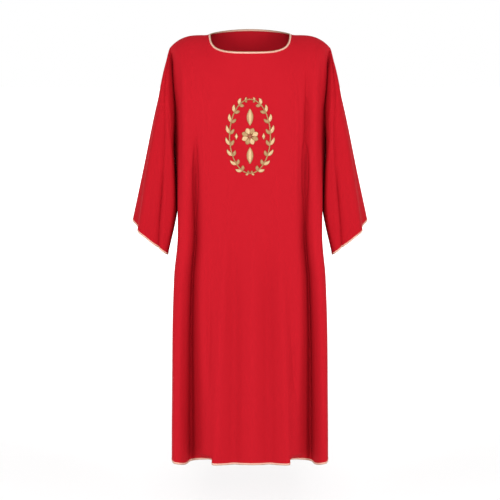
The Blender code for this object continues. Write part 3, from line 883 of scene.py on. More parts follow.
@dataclass(frozen=True)
class BodyForm:
    """The surface that both panels, their bindings and the embroidery lie on."""

    yoke_z: float = -0.180
    underarm_z: float = -0.310
    hem_z: float = -1.280
    neck_half_width: float = 0.124
    neck_front_z: float = -0.0535
    neck_back_z: float = 0.012
    neck_squareness: float = 3.7
    neck_slant: float = 0.06
    nape_squareness: float = 1.6
    nape_rise: float = 0.155
    nape_half_width: float = 0.140
    shoulder_level_to: float = 0.140
    shoulder_round: float = 0.110
    shoulder_drop: float = 0.050
    chest_slope: float = 0.10
    armhole_mid_z: float = -0.140
    armhole_top_x: float = 0.2395
    underarm_sharpness: float = 1.6
    fold_sway: float = 0.042
    hem_step_height: float = 0.028
    hem_fall_height: float = 0.110
    softness: float = 0.012
    seam_fade: float = 0.06
    smooth_below: Pair = (-0.02, 0.10)
    fan_reach: float = 0.30
    fan_out: float = 0.022
    searched_share: float = 0.95
    fine_steps: int = 400
    batch: int = 400

    @staticmethod
    def folds(facing: Facing) -> tuple[Fold, ...]:
        """The folds of a panel, from its centre to the side seam."""
        return FRONT_FOLDS if facing is Facing.FRONT else BACK_FOLDS

    def section_at(self, z: Array, column: str) -> Array:
        """One column of the body's sections at each height."""
        rows = SECTIONS[::-1]
        return eased([row.z for row in rows], [getattr(row, column) for row in rows], z)

    def shoulder_z(self, x: Array) -> Array:
        """The shoulder line, which runs on across the neck opening.

        Args:
            x: Places across.

        Returns:
            Its heights.
        """
        x = np.abs(x)
        nape = self.nape_rise * np.clip(1 - (x / self.nape_half_width) ** 2, 0, 1) ** 3
        over = np.clip((x - self.shoulder_level_to) / self.shoulder_round, 0, None) ** 3
        return nape - self.shoulder_drop * over

    def fold_points(self, facing: Facing, z: Array, sway: Array) -> Array:
        """Where each fold stands.

        Args:
            facing: The panel.
            z: The heights.
            sway: How much wider the folds stand at each place.

        Returns:
            (x, distance from the seam plane, fall), heights by folds by 3.
        """
        above_hem = z - self.hem_z
        hem_step = smooth(1 - above_hem / self.hem_step_height)
        hem_fall = smooth(1 - above_hem / self.hem_fall_height)
        low = np.clip((self.underarm_z - z) / (self.underarm_z - self.hem_z), 0, 1)
        steps = {step.fold: step for step in HEM_STEPS} if facing is Facing.FRONT else {}
        half_width, depth = self.section_at(z, "half_width"), self.section_at(z, facing.name.lower())
        rows = []
        for fold in self.folds(facing):
            across = eased(FOLD_HEIGHTS, (fold.across_hem, fold.across_hip, fold.across_chest), z)
            behind = eased(FOLD_HEIGHTS, (fold.behind_hem, fold.behind_hip, fold.behind_chest), z)
            fall = np.zeros_like(z)
            if fold.name in steps:
                across = across + steps[fold.name].across * hem_step
                behind = behind + steps[fold.name].behind * hem_step
                fall = steps[fold.name].down * hem_fall
            widened = 1 + sway * low * np.sin(math.pi * np.clip(across, 0, 1))
            rows.append(np.stack([half_width * across * widened, depth * (1 - behind), fall], axis=-1))
        return np.stack(rows, axis=-2)

    def section(self, facing: Facing, s: Array, z: Array) -> Array:
        """Places on the folded section at each height.

        Args:
            facing: The panel.
            s: From -1 at the right side seam, through the centre, to 1 at the left one.
            z: Heights.

        Returns:
            (x, distance from the seam plane, fall) for each place.
        """
        s, z = np.broadcast_arrays(np.asarray(s, float), np.asarray(z, float))
        shape = s.shape
        s, z = s.ravel(), z.ravel()
        side = np.where(s < 0, -1.0, 1.0)
        sway = np.where(side > 0, self.fold_sway, 0.0)
        near, far = (self.fold_points(panel, z, sway) for panel in (facing, Facing(-facing.value)))
        mirrored = near[:, 1:2] * np.array([-1.0, 1.0, 1.0])
        beyond = far[:, -2:-1] * np.array([1.0, -1.0, 1.0])
        corners = np.concatenate([mirrored, near, beyond], axis=1)
        path = through(corners, np.abs(s) * (near.shape[1] - 1))
        path[:, 0] *= side
        return path.reshape(*shape, 3)

    def over_shoulder(self, facing: Facing, path: Array, x: Array, z: Array) -> Array:
        """Bends the section's places back to the shoulder line, which they reach at its height at x.

        Args:
            facing: The panel.
            path: (x, distance from the seam plane, fall) for each place.
            x: Where each place meets the shoulder line.
            z: Heights.

        Returns:
            The points.
        """
        top = self.shoulder_z(x)
        drop = np.clip((top - z) / (top - self.yoke_z), 0, 1)
        rounding = (1 - self.chest_slope) * np.sqrt(1 - (1 - drop) ** 2) + self.chest_slope * drop
        rounding = np.where(z < self.yoke_z, 1.0, rounding)
        return np.stack([path[..., 0], facing.value * path[..., 1] * rounding, z - path[..., 2]], axis=-1)

    def plain(self, facing: Facing, s: Array, z: Array) -> Array:
        """Points of the body's form before it is softened; the arguments are section()'s."""
        path = self.section(facing, s, z)
        return self.over_shoulder(facing, path, path[..., 0], z)

    def soft(self, facing: Facing, s: Array, z: Array) -> Array:
        """Points of the form, with the turns of its folds softened.

        Args:
            facing: The panel.
            s: Places round it, as in section().
            z: Heights.

        Returns:
            The points.
        """
        s = np.asarray(s, float)
        spread = np.minimum(self.softness, np.clip(1 - np.abs(s), 0, None))
        before, here, after = (self.section(facing, s + k * spread, z) for k in (-1, 0, 1))
        return self.over_shoulder(facing, (before + 2 * here + after) / 4, here[..., 0], z)

    def relief(self, facing: Facing, s: Array, x: Array, z: Array) -> Array:
        """How far the listed creases lift the cloth; it fades out at the side seams.

        Args:
            facing: The panel.
            s: Places round the body.
            x: The same places' x.
            z: Heights.

        Returns:
            The lift in metres.
        """
        creases = FRONT_CREASES if facing is Facing.FRONT else BACK_CREASES
        lift = sum(crease.relief(x, z) for crease in creases)
        for ripple in RIPPLES:
            drifted = x + ripple.drift * np.sin(ripple.drift_turns * z)
            wave = 2 * math.pi * drifted / ripple.wavelength
            lift = lift + ripple.height * np.sin(wave + ripple.phase + facing.value)
        below_neck = smooth((self.smooth_below[0] - z) / self.smooth_below[1])
        return lift * below_neck * smooth((1 - np.abs(s)) / self.seam_fade)

    def dressed(self, facing: Facing, s: Array, z: Array) -> tuple[Array, Array]:
        """The creased cloth.

        Args:
            facing: The panel.
            s: Places round it, as in section().
            z: Heights.

        Returns:
            Its points and its outward normals.
        """
        s, z = np.broadcast_arrays(np.asarray(s, float), np.asarray(z, float))
        small = 1e-3
        low, high = np.clip(s - small, -1, 1), np.clip(s + small, -1, 1)
        across = self.soft(facing, high, z) - self.soft(facing, low, z)
        up = self.soft(facing, s, z + small / 2) - self.soft(facing, s, z - small / 2)
        normals = -facing.value * unit(np.cross(across, up))
        points = self.soft(facing, s, z)
        lift = self.relief(facing, s, points[..., 0], z)
        return points + lift[..., None] * normals, normals

    def reach(self, facing: Facing, side: Array, z: Array, share: Array) -> Array:
        """How far out the form stands at each share of its half, in one row for each side and height."""
        across = np.abs(self.plain(facing, share * side[:, None], z[:, None])[..., 0])
        return np.maximum.accumulate(across, axis=1)

    def s_at(self, facing: Facing, x: Array, z: Array, steps: int = 240) -> Array:
        """The s at which the form has this x, for single-valued stretches of a section.

        Args:
            facing: The panel.
            x: Places across.
            z: Heights.
            steps: How finely each section is divided.

        Returns:
            One s for each place.
        """
        x, z = np.broadcast_arrays(np.asarray(x, float), np.asarray(z, float))
        shape = x.shape
        x, z = x.ravel(), z.ravel()
        side = np.where(x < 0, -1.0, 1.0)
        share = np.linspace(0, self.searched_share, steps)
        found = np.empty(len(x))
        for start in range(0, len(x), self.batch):
            part = slice(start, start + self.batch)
            reach = self.reach(facing, side[part], z[part], share)
            found[part] = [np.interp(abs(a), row, share) for a, row in zip(x[part], reach)]
        return (found * side).reshape(shape)

    def neck_edge(self, facing: Facing, angle: Array, inset: float) -> tuple[Array, Array]:
        """The neck opening's edge.

        Args:
            facing: The panel.
            angle: From minus a quarter turn at the right shoulder to a quarter turn at the left one.
            inset: How far the line lies inside the opening.

        Returns:
            Its x and z.
        """
        half_width = self.neck_half_width - inset
        top = float(self.shoulder_z(half_width))
        turn, side = np.abs(angle), np.sign(angle)
        if facing is Facing.FRONT:
            power = 2 / self.neck_squareness
            down = np.abs(np.cos(turn)) ** power
            across = side * half_width * np.sin(turn) ** power * (1 - self.neck_slant * down)
            return across, top + (self.neck_front_z + inset - top) * down
        up = np.abs(np.cos(turn)) ** self.nape_squareness
        return side * half_width * np.sin(turn), top + (self.neck_back_z + inset - top) * up

    def armhole(self, facing: Facing, turn: Array) -> tuple[Array, Array]:
        """The armhole's edge, from the shoulder line (turn 0) to the underarm (half a turn).

        Args:
            facing: The panel.
            turn: Angles.

        Returns:
            Its s and z.
        """
        top_z = float(self.shoulder_z(self.armhole_top_x))
        top_s = float(self.s_at(facing, self.armhole_top_x, top_z, self.fine_steps))
        to_seam = 1 - np.sin(turn) ** self.underarm_sharpness
        s = np.where(turn <= math.pi / 2, top_s, top_s + (1 - top_s) * to_seam)
        upper = self.armhole_mid_z + (top_z - self.armhole_mid_z) * np.cos(turn)
        lower = self.armhole_mid_z + (self.armhole_mid_z - self.underarm_z) * np.cos(turn)
        return s, np.where(turn <= math.pi / 2, upper, lower)


# ---- panels


@dataclass(frozen=True)
class Seam:
    """A sewn seam, where the cloth turns in, and the soft valley that it lies in round the armhole."""

    depth: float = 0.0007
    width: float = 0.0016
    valley_depth: float = 0.0060
    valley_width: float = 0.0125
    ridge_share: float = 0.30
    ridge_at: float = 0.0170
    valley_turns: tuple[float, ...] = (0.16, 0.85, 2.2, 2.9)
    narrow_share: float = 0.40
    widening: Pair = (0.8, 1.2)

    def groove(self, distance: Array) -> Array:
        """How far the stitches draw the cloth in, at a distance from the seam."""
        return self.depth * np.exp(-((distance / self.width) ** 2))

    def valley(self, distance: Array, turn: Array) -> Array:
        """How far the cloth falls back beside the armhole.

        Args:
            distance: Distance from the seam.
            turn: Angle round the armhole from its top, up to half a turn.

        Returns:
            The fall, which is below 0 on the soft ridge next to the valley.
        """
        start, deep, leave, end = self.valley_turns
        share = smooth((turn - start) / (deep - start)) * (1 - smooth((turn - leave) / (end - leave)))
        widened = smooth((turn - self.widening[0]) / self.widening[1])
        wide = self.narrow_share + (1 - self.narrow_share) * widened
        fall = np.exp(-((distance / (self.valley_width * wide)) ** 2))
        ridge = np.exp(-(((distance / wide - self.ridge_at) / self.valley_width) ** 2))
        return self.valley_depth * share * wide * (fall - self.ridge_share * ridge)


@dataclass
class Panel:
    """The front or the back of the body, as one thin wall of cloth."""

    body: BodyForm
    facing: Facing
    node: str
    steps_per_fold: int
    armhole_rows: int = 66
    skirt_rows: int = 132
    thickness: float = 0.0008
    tuck: float = 0.0025
    binding_width: float = 0.0060
    edge_strips: tuple[float, ...] = (0.0, 0.0028, 0.0062)
    first_rows: Pair = (0.25, 0.6)
    fan_sideways: float = 0.75
    fan_fade: float = 1.5
    straightening: float = 0.75
    edge_pull: int = 4
    weave_levels: int = 50
    weave_columns: int = 200
    seam: Seam = Seam()

    @property
    def neck_share(self) -> float:
        """The share of the columns that ends at the neck: 6 of the front's folds and 4 of the back's."""
        return (6 if self.facing is Facing.FRONT else 4) / (len(self.body.folds(self.facing)) - 1)

    def columns(self) -> Array:
        """The panel's own coordinate q, evenly divided between its folds, with narrow strips at its edges.

        Returns:
            The columns' q, from -1 to 1.
        """
        count = (len(self.body.folds(self.facing)) - 1) * self.steps_per_fold
        even = np.arange(-count + 1, count) / count
        strips = 1 - np.array(self.edge_strips)
        return np.concatenate([-strips, even, strips[::-1]])

    def top_edge(self, q: Array) -> tuple[Array, Array]:
        """x and z of the top edge: round the neck, then out along the shoulder line.

        Args:
            q: The panel's columns.

        Returns:
            The edge's x and z.
        """
        body, side = self.body, np.sign(q)
        at_neck = np.abs(q) <= self.neck_share
        angle = math.pi / 2 * np.clip(q / self.neck_share, -1, 1)
        neck_x, neck_z = body.neck_edge(self.facing, angle, self.tuck)
        out = (np.abs(q) - self.neck_share) / (1 - self.neck_share)
        start = body.neck_half_width - self.tuck
        x = start + (body.armhole_top_x - start) * out
        return np.where(at_neck, neck_x, side * x), np.where(at_neck, neck_z, body.shoulder_z(x))

    def fanned(self, q: Array) -> Array:
        """Directions in which the rows leave the top edge: out from the neck, and down elsewhere.

        Args:
            q: The panel's columns.

        Returns:
            One flat direction for each column.
        """
        round_neck = np.sin(math.pi / 2 * np.clip(np.abs(q) / self.neck_share, 0, 1)) ** 2
        past_neck = np.clip((np.abs(q) - self.neck_share) / (1 - self.neck_share), 0, 1)
        sideways = self.fan_sideways * np.sign(q) * round_neck * (1 - past_neck) ** self.fan_fade
        return np.stack([sideways, -np.sqrt(1 - sideways**2)], axis=-1)

    def armhole_turns(self) -> Array:
        """Angles round the armhole, one for each of the panel's upper rows."""
        turns = math.pi * np.linspace(0, 1, self.armhole_rows + 1)
        return np.concatenate([turns[:1], turns[1] * np.array(self.first_rows), turns[1:]])

    def places(self) -> tuple[Array, Array]:
        """Lays the panel's points out, from the neck and shoulders to inside the hem binding.

        Returns:
            Their s and z, in rows.
        """
        body, q = self.body, self.columns()
        top_x, top_z = self.top_edge(q)
        away = self.fanned(q)
        share = np.linspace(0, body.searched_share, body.fine_steps)
        side = np.where(q < 0, -1.0, 1.0)
        reach = body.reach(self.facing, side, top_z, share)
        turns = self.armhole_turns()
        edge_s, edge_z = body.armhole(self.facing, turns)
        top_s = edge_s[0]
        to_edge = np.abs(q) ** self.edge_pull
        rows = []
        for turn, at_s, at_z in zip(turns, edge_s, edge_z):
            down = (1 - math.cos(turn)) / 2
            straight = down**self.straightening * (1 - down) + down * down
            fan_x = top_x + away[:, 0] * min(down * body.fan_reach, body.fan_out)
            fan_z = top_z + away[:, 1] * down * body.fan_reach
            s = side * np.array([np.interp(abs(x), row, share) for x, row in zip(fan_x, reach)])
            s = s + (q - s) * (straight + ((at_s - top_s) / (1 - top_s) - straight) * to_edge)
            z = fan_z + (body.underarm_z * down - fan_z) * straight
            z = z + to_edge * (at_z - z[-1])
            s[0], s[-1], z[0], z[-1] = -at_s, at_s, at_z, at_z
            rows.append((s, z))
        bottom = body.hem_z + self.binding_width - self.tuck
        for share_down in np.linspace(0, 1, self.skirt_rows + 1)[1:]:
            rows.append((q, np.full(len(q), body.underarm_z + (bottom - body.underarm_z) * share_down)))
        s, z = np.moveaxis(np.array(rows), 1, 0)
        return s, z

    def weave(self, s: Array, points: Array) -> Array:
        """Thread coordinates: across is measured level round the body, and along down each column.

        Args:
            s: Places round the body.
            points: The panel's points.

        Returns:
            The coordinates in metres.
        """
        z, margin = points[..., 2], 1e-6
        heights = np.linspace(z.min() - margin, z.max() + margin, self.weave_levels)
        places = np.linspace(-1, 1, 2 * self.weave_columns + 1)
        run = run_length(self.body.plain(self.facing, places[None, :], heights[:, None]), 1)
        run = run - run[:, self.weave_columns, None]
        at = ((z - heights[0]) / (heights[1] - heights[0])).ravel()
        flat_s = s.ravel()
        across = between_rows(at, lambda i, k: np.interp(flat_s[i], places, run[k])).reshape(s.shape)
        along = run_length(points, 0) - points[:1, :, 2]
        return np.stack([across, along], axis=-1)

    def outward(self, points: Array) -> Array:
        """Unit normals of the panel's points, away from the wearer."""
        return grid_normals(points, False, points.shape[1] // 2, (0.0, self.facing.value, 0.0))

    def grid(self) -> tuple[Array, Array]:
        """The outer skin.

        Returns:
            Its rows of points, and their thread coordinates.
        """
        s, z = self.places()
        points = self.body.soft(self.facing, s, z)
        lift = self.body.relief(self.facing, s, points[..., 0], z)
        across, down = run_length(points, 1), run_length(points, 0)
        to_side = np.minimum(across, across[:, -1:] - across)
        sewn = self.seam.groove(to_side)
        on_shoulder = np.abs(points[0, :, 0]) > self.body.neck_half_width - self.tuck
        sewn = np.maximum(sewn, self.seam.groove(down) * on_shoulder)
        turns = np.full(len(s), math.pi)
        turns[: len(self.armhole_turns())] = self.armhole_turns()
        sewn = sewn + self.seam.valley(to_side, turns[:, None])
        points = points + (lift - sewn)[..., None] * self.outward(points)
        return points, self.weave(s, points)

    def build(self, material: Material) -> Object:
        """Makes the panel's wall of cloth.

        Args:
            material: Its finish.

        Returns:
            The piece.
        """
        outer, weave = self.grid()
        lining = outer - self.thickness * self.outward(outer)
        parts = MeshParts()
        parts.add_wall(outer, lining, weave, False, self.facing is Facing.BACK)
        piece = place(parts.build(self.node + "_cloth", [material]), "cloth", self.node)
        note_cut(piece, outer, False)
        return piece


# ---- sleeves


@dataclass(frozen=True)
class SleeveSection:
    """One section of the sleeve: where its inner and outer walls stand, and how it is squared.

    skew brings the outer wall's front in, and lean takes the inner wall's back out.
    """

    name: str
    inner: float
    outer: float
    front: float
    back: float
    inner_z: float
    outer_z: float
    skew: float
    lean: float
    squareness: float


SLEEVE_SECTIONS = (
    SleeveSection("cap", 0.2265, 0.2505, 0.096, 0.090, -0.342, -0.078, 0.000, 0.000, 4.0),
    SleeveSection("upper arm", 0.2225, 0.2870, 0.104, 0.098, -0.425, -0.235, 0.004, 0.000, 6.0),
    SleeveSection("elbow", 0.2215, 0.3215, 0.104, 0.103, -0.535, -0.408, 0.007, 0.003, 6.5),
    SleeveSection("cuff", 0.2445, 0.3530, 0.096, 0.105, -0.655, -0.574, 0.0125, 0.013, 6.5),
)

# Lines on a sleeve: across is x, below 0 on its back
RIGHT_SLEEVE_CREASES = (
    Crease(
        "inner line", -0.0056, 0.004,
        (
            (0.2435, -0.03), (0.2453, -0.117), (0.2527, -0.249), (0.256, -0.337),
            (0.2632, -0.456), (0.2735, -0.575), (0.28, -0.72),
        ),
        0.05, -0.8, 0.0006,
    ),
    Crease(
        "lower inner line", -0.0042, 0.0034,
        ((0.259, -0.36), (0.2632, -0.456), (0.2735, -0.575), (0.28, -0.72)),
        0.1, -0.8, 0.0006,
    ),
    Crease("inner ridge", 0.0014, 0.007, ((0.238, -0.06), (0.245, -0.3), (0.258, -0.6), (0.262, -0.8)), 0.1),
    Crease("outer fall", -0.0024, 0.01, ((0.262, -0.18), (0.286, -0.4), (0.316, -0.62), (0.33, -0.8)), 0.12),
    Crease(
        "back line", -0.0036, 0.0055, ((-0.24, -0.08), (-0.254, -0.3), (-0.275, -0.61), (-0.28, -0.8)),
        0.08,
    ),
    Crease(
        "back fall", 0.0026, 0.009, ((-0.252, -0.18), (-0.276, -0.4), (-0.312, -0.62), (-0.32, -0.8)),
        0.12,
    ),
)
LEFT_SLEEVE_CREASES = (
    Crease(
        "inner line", -0.0056, 0.004,
        (
            (0.2405, -0.03), (0.2424, -0.117), (0.2498, -0.249), (0.2513, -0.337),
            (0.262, -0.456), (0.273, -0.575), (0.28, -0.72),
        ),
        0.05, -0.8, 0.0006,
    ),
    Crease(
        "lower inner line", -0.0042, 0.0034,
        ((0.256, -0.36), (0.262, -0.456), (0.273, -0.575), (0.28, -0.72)),
        0.1, -0.8, 0.0006,
    ),
    Crease("inner ridge", 0.0014, 0.007, ((0.236, -0.06), (0.242, -0.3), (0.256, -0.6), (0.26, -0.8)), 0.1),
    Crease("outer fall", -0.002, 0.011, ((0.264, -0.2), (0.288, -0.42), (0.318, -0.62), (0.33, -0.8)), 0.12),
    Crease(
        "back line", -0.0032, 0.006, ((-0.239, -0.08), (-0.256, -0.32), (-0.273, -0.61), (-0.28, -0.8)),
        0.08,
    ),
    Crease(
        "back fall", 0.0028, 0.009, ((-0.254, -0.18), (-0.278, -0.42), (-0.314, -0.62), (-0.32, -0.8)),
        0.12,
    ),
)


@dataclass
class BodySide:
    """How far the body's left side stands out, from a table over depth and height."""

    body: BodyForm
    depths: Array = field(default_factory=lambda: np.linspace(-0.17, 0.17, 171))
    heights: Array = field(default_factory=lambda: np.linspace(-0.70, 0.06, 153))
    from_s: float = 0.75
    places: int = 60

    def __post_init__(self) -> None:
        """Works the table out."""
        s = np.linspace(self.from_s, 1, self.places)
        z = self.heights[:, None]
        halves = self.body.plain(Facing.FRONT, s, z), self.body.plain(Facing.BACK, s[::-1], z)
        ring = np.concatenate(halves, axis=1)
        self.reach = np.array([np.interp(self.depths, row[:, 1], row[:, 0]) for row in ring])

    def at(self, y: Array, z: Array) -> Array:
        """Where the side stands.

        Args:
            y: Depths.
            z: Heights.

        Returns:
            The side's x at each of them.
        """
        across, up = (
            np.clip((value - known[0]) / (known[1] - known[0]), 0, len(known) - LAST_CELL)
            for value, known in ((y, self.depths), (z, self.heights))
        )
        i, j = across.astype(int), up.astype(int)
        a, b = across - i, up - j
        low = self.reach[j, i] * (1 - a) + self.reach[j, i + 1] * a
        high = self.reach[j + 1, i] * (1 - a) + self.reach[j + 1, i + 1] * a
        return low * (1 - b) + high * b


@dataclass
class Sleeve:
    """A wide straight sleeve, lofted from the armhole to the cuff and hanging clear of the body."""

    body: BodyForm
    side: Side
    beside: BodySide
    creases: tuple[Crease, ...]
    turns_round: int = 320
    even_turns: float = 3.1
    rows: int = 132
    first_rows: tuple[float, ...] = (0.0, 0.0009, 0.0020, 0.0034)
    even_rows_from: float = 0.006
    places_per_section: int = 40
    clearance: float = 0.0030
    first_clear: float = 0.2
    clear_by: float = 0.03
    binding_width: float = 0.0060
    thickness: float = 0.0008
    tuck: float = 0.0025
    puff_forward: float = 0.010
    puff_rise: float = 0.026
    puff_length: float = 0.060
    puff_turns: Pair = (0.30, 0.45)
    top_turns: Pair = (0.25, 0.55)
    flat_turns: Pair = (0.35, 0.30)
    fold_turn: float = 4.0
    fold_at: float = -0.25
    fold_drop: float = 0.70
    shoulder_slope: Point = (1.0, 0.0, -1.04)
    outward_taper: float = 0.14
    push_below: float = -0.060
    push_fade: float = 0.050
    seam: Seam = Seam(valley_depth=0.0020, valley_width=0.0060)

    @property
    def node(self) -> str:
        """The name of the sleeve's solid."""
        return "sleeve_" + self.side.name.lower()

    def turns(self) -> Array:
        """Angles round the sleeve: 0 on top, a quarter turn at the front, half a turn under the arm.

        They stand closer at the quarter turns, which spreads the points evenly over the sleeve's flat sides.

        Returns:
            The angles.
        """
        even = full_turn(self.turns_round)
        up, fore = (signed_power(part, self.even_turns) for part in (np.cos(even), np.sin(even)))
        return np.mod(np.arctan2(fore, up), 2 * math.pi)

    def from_top(self) -> Array:
        """Angles from the sleeve's top, up to half a turn on both of its sides."""
        return np.minimum(self.turns(), 2 * math.pi - self.turns())

    def armhole_ring(self) -> Array:
        """The left armhole's edge in the creased body.

        Returns:
            Its ring of points.
        """
        turns, body_seam = self.from_top(), Seam()
        fall = body_seam.depth + body_seam.valley(np.zeros_like(turns), turns)
        halves = []
        for facing in Facing:
            points, out = self.body.dressed(facing, *self.body.armhole(facing, turns))
            halves.append(points - fall[:, None] * out)
        return np.where(self.turns()[:, None] <= math.pi, *halves)

    def section_ring(self, section: SleeveSection) -> Array:
        """One ring of the left sleeve: a rounded oblong, lower at its inner side, clear of the body.

        Args:
            section: The section that it follows.

        Returns:
            Its points.
        """
        out = (1 + signed_power(np.cos(self.turns()), 2 / section.squareness)) / 2
        fore = signed_power(np.sin(self.turns()), 2 / section.squareness)
        y = -fore * np.where(fore > 0, section.front, section.back) * (1 - self.outward_taper * out**2)
        skew = section.skew * np.tanh(self.fold_turn * (fore - self.fold_at))
        x = section.inner + (section.outer - section.inner - skew) * out
        x = x + section.lean * (1 - out) * (1 - fore) / 2
        z = section.inner_z + (section.outer_z - section.inner_z - self.fold_drop * skew) * out
        x = np.maximum(x, self.beside.at(y, z) + self.clearance)
        return np.stack([x, y, z], axis=-1)

    @staticmethod
    def outward(rings: Array) -> Array:
        """Unit normals of the sleeve's rings, which point up on its top."""
        return grid_normals(rings, True, 0, (0.0, 0.0, 1.0))

    def loft(self) -> tuple[Array, Array]:
        """The left sleeve's surface.

        Returns:
            Its close rings, and how far along the sleeve each of them is.
        """
        keys = [self.armhole_ring()] + [self.section_ring(section) for section in SLEEVE_SECTIONS]
        first = keys[1] - keys[0]
        on_top = smooth((np.cos(self.turns()) - self.top_turns[0]) / self.top_turns[1])[:, None]
        shoulder = unit(np.array(self.shoulder_slope)) * np.linalg.norm(first, axis=-1, keepdims=True)
        keys = [keys[0] - first - on_top * (shoulder - first)] + keys + [2 * keys[-1] - keys[-2]]
        path = np.stack(keys, axis=1)
        spans = len(SLEEVE_SECTIONS)
        stations = np.linspace(0, spans, self.places_per_section * spans + 1)
        dense = np.stack([through(path, np.full(len(path), station)) for station in stations])
        step = np.linalg.norm(np.diff(dense, axis=0), axis=-1).mean(axis=1)
        along = np.concatenate([[0], np.cumsum(step)])
        beside = along[:, None]
        puff = smooth(beside / self.puff_rise) * (1 - smooth((beside - self.puff_rise) / self.puff_length))
        fore = np.sin(self.turns())
        puff = puff * np.sign(fore) * smooth((np.abs(fore) - self.puff_turns[0]) / self.puff_turns[1])
        dense[..., 1] -= self.puff_forward * puff
        clear = self.clearance * np.minimum(1.0, self.first_clear + along[1:, None] / self.clear_by)
        pushed = self.beside.at(dense[1:, :, 1], dense[1:, :, 2]) + clear
        below = smooth((self.push_below - dense[1:, :, 2]) / self.push_fade)
        dense[1:, :, 0] += below * np.maximum(pushed - dense[1:, :, 0], 0.0)
        return dense, along

    def relief(self, dense: Array) -> Array:
        """How far the listed creases lift the sleeve.

        Args:
            dense: The loft's rings.

        Returns:
            The lift in metres, rings by points round.
        """
        across = dense[..., 0] * np.where(self.turns() <= math.pi, 1.0, -1.0)
        off_walls = smooth((np.abs(np.sin(self.turns())) - self.flat_turns[0]) / self.flat_turns[1])
        return off_walls * sum(crease.relief(across, dense[..., 2]) for crease in self.creases)

    def rings(self, dense: Array, along: Array, distances: Array) -> Array:
        """Rings of the creased sleeve at these distances along it.

        Args:
            dense: The loft's rings.
            along: How far along each of them is.
            distances: Where to cut.

        Returns:
            The rings, on this sleeve's own side.
        """
        lifted = dense + self.relief(dense)[..., None] * self.outward(dense)
        lifted[0] = dense[0]
        cut = sampled(distances, along, lifted.reshape(len(lifted), -1))
        return cut.reshape(len(distances), -1, 3) * np.array([float(self.side.value), 1.0, 1.0])

    def build(self, material: Material) -> Object:
        """Makes the sleeve's wall of cloth.

        Args:
            material: Its finish.

        Returns:
            The piece.
        """
        dense, along = self.loft()
        end = along[-1] - self.binding_width + self.tuck
        distances = np.concatenate([self.first_rows, np.linspace(self.even_rows_from, end, self.rows)])
        outer = self.rings(dense, along, distances)
        normals = self.outward(outer)
        beside = distances[1:, None]
        fall = self.seam.groove(beside) + self.seam.valley(beside, self.from_top())
        outer[1:] -= fall[..., None] * normals[1:]
        weave = np.stack([run_length(looped(outer), 1), run_length(looped(outer), 0)], axis=-1)
        parts = MeshParts()
        parts.add_wall(outer, outer - self.thickness * normals, weave, True, self.side is Side.LEFT)
        piece = place(parts.build(self.node + "_cloth", [material]), "cloth", self.node)
        note_cut(piece, outer, True)
        return piece

    def cuff_guides(self) -> tuple[Array, Array]:
        """Guides for the cuff's binding.

        Returns:
            Rows along the edge and at the binding's inner line, and the normals there.
        """
        dense, along = self.loft()
        distances = along[-1] - np.array([self.binding_width * 2, self.binding_width, 0.0])
        rows = self.rings(dense, along, distances)
        return np.stack([rows[2], rows[1]]), self.outward(rows)[1]


# ---- bindings


# The folded strip's section in millimetres: (in from the edge, out from the cloth), from the cloth side over
# the band and round the edge to the inner side
BAND_SECTION = (
    (6.0, 0.05), (5.8, 0.44), (5.3, 0.58), (4.75, 0.34), (4.2, 0.58), (3.2, 0.7), (2.2, 0.66), (1.6, 0.36),
)
EDGE_SECTION = (
    (1.6, 0.36), (1.15, 0.66), (0.55, 0.56), (0.12, 0.1), (0.0, -0.8), (0.12, -1.7), (0.6, -2.15),
    (1.3, -2.05),
)
INSIDE_SECTION = ((1.3, -2.05), (2.6, -2.2), (4.2, -2.2), (5.6, -2.0), (6.0, -1.2), (6.0, 0.05))
# A stitch's rings: (share of its length, share of its radius)
STITCH_RINGS = ((0.0, 0.25), (0.22, 0.95), (0.5, 1.1), (0.78, 0.95), (1.0, 0.25))


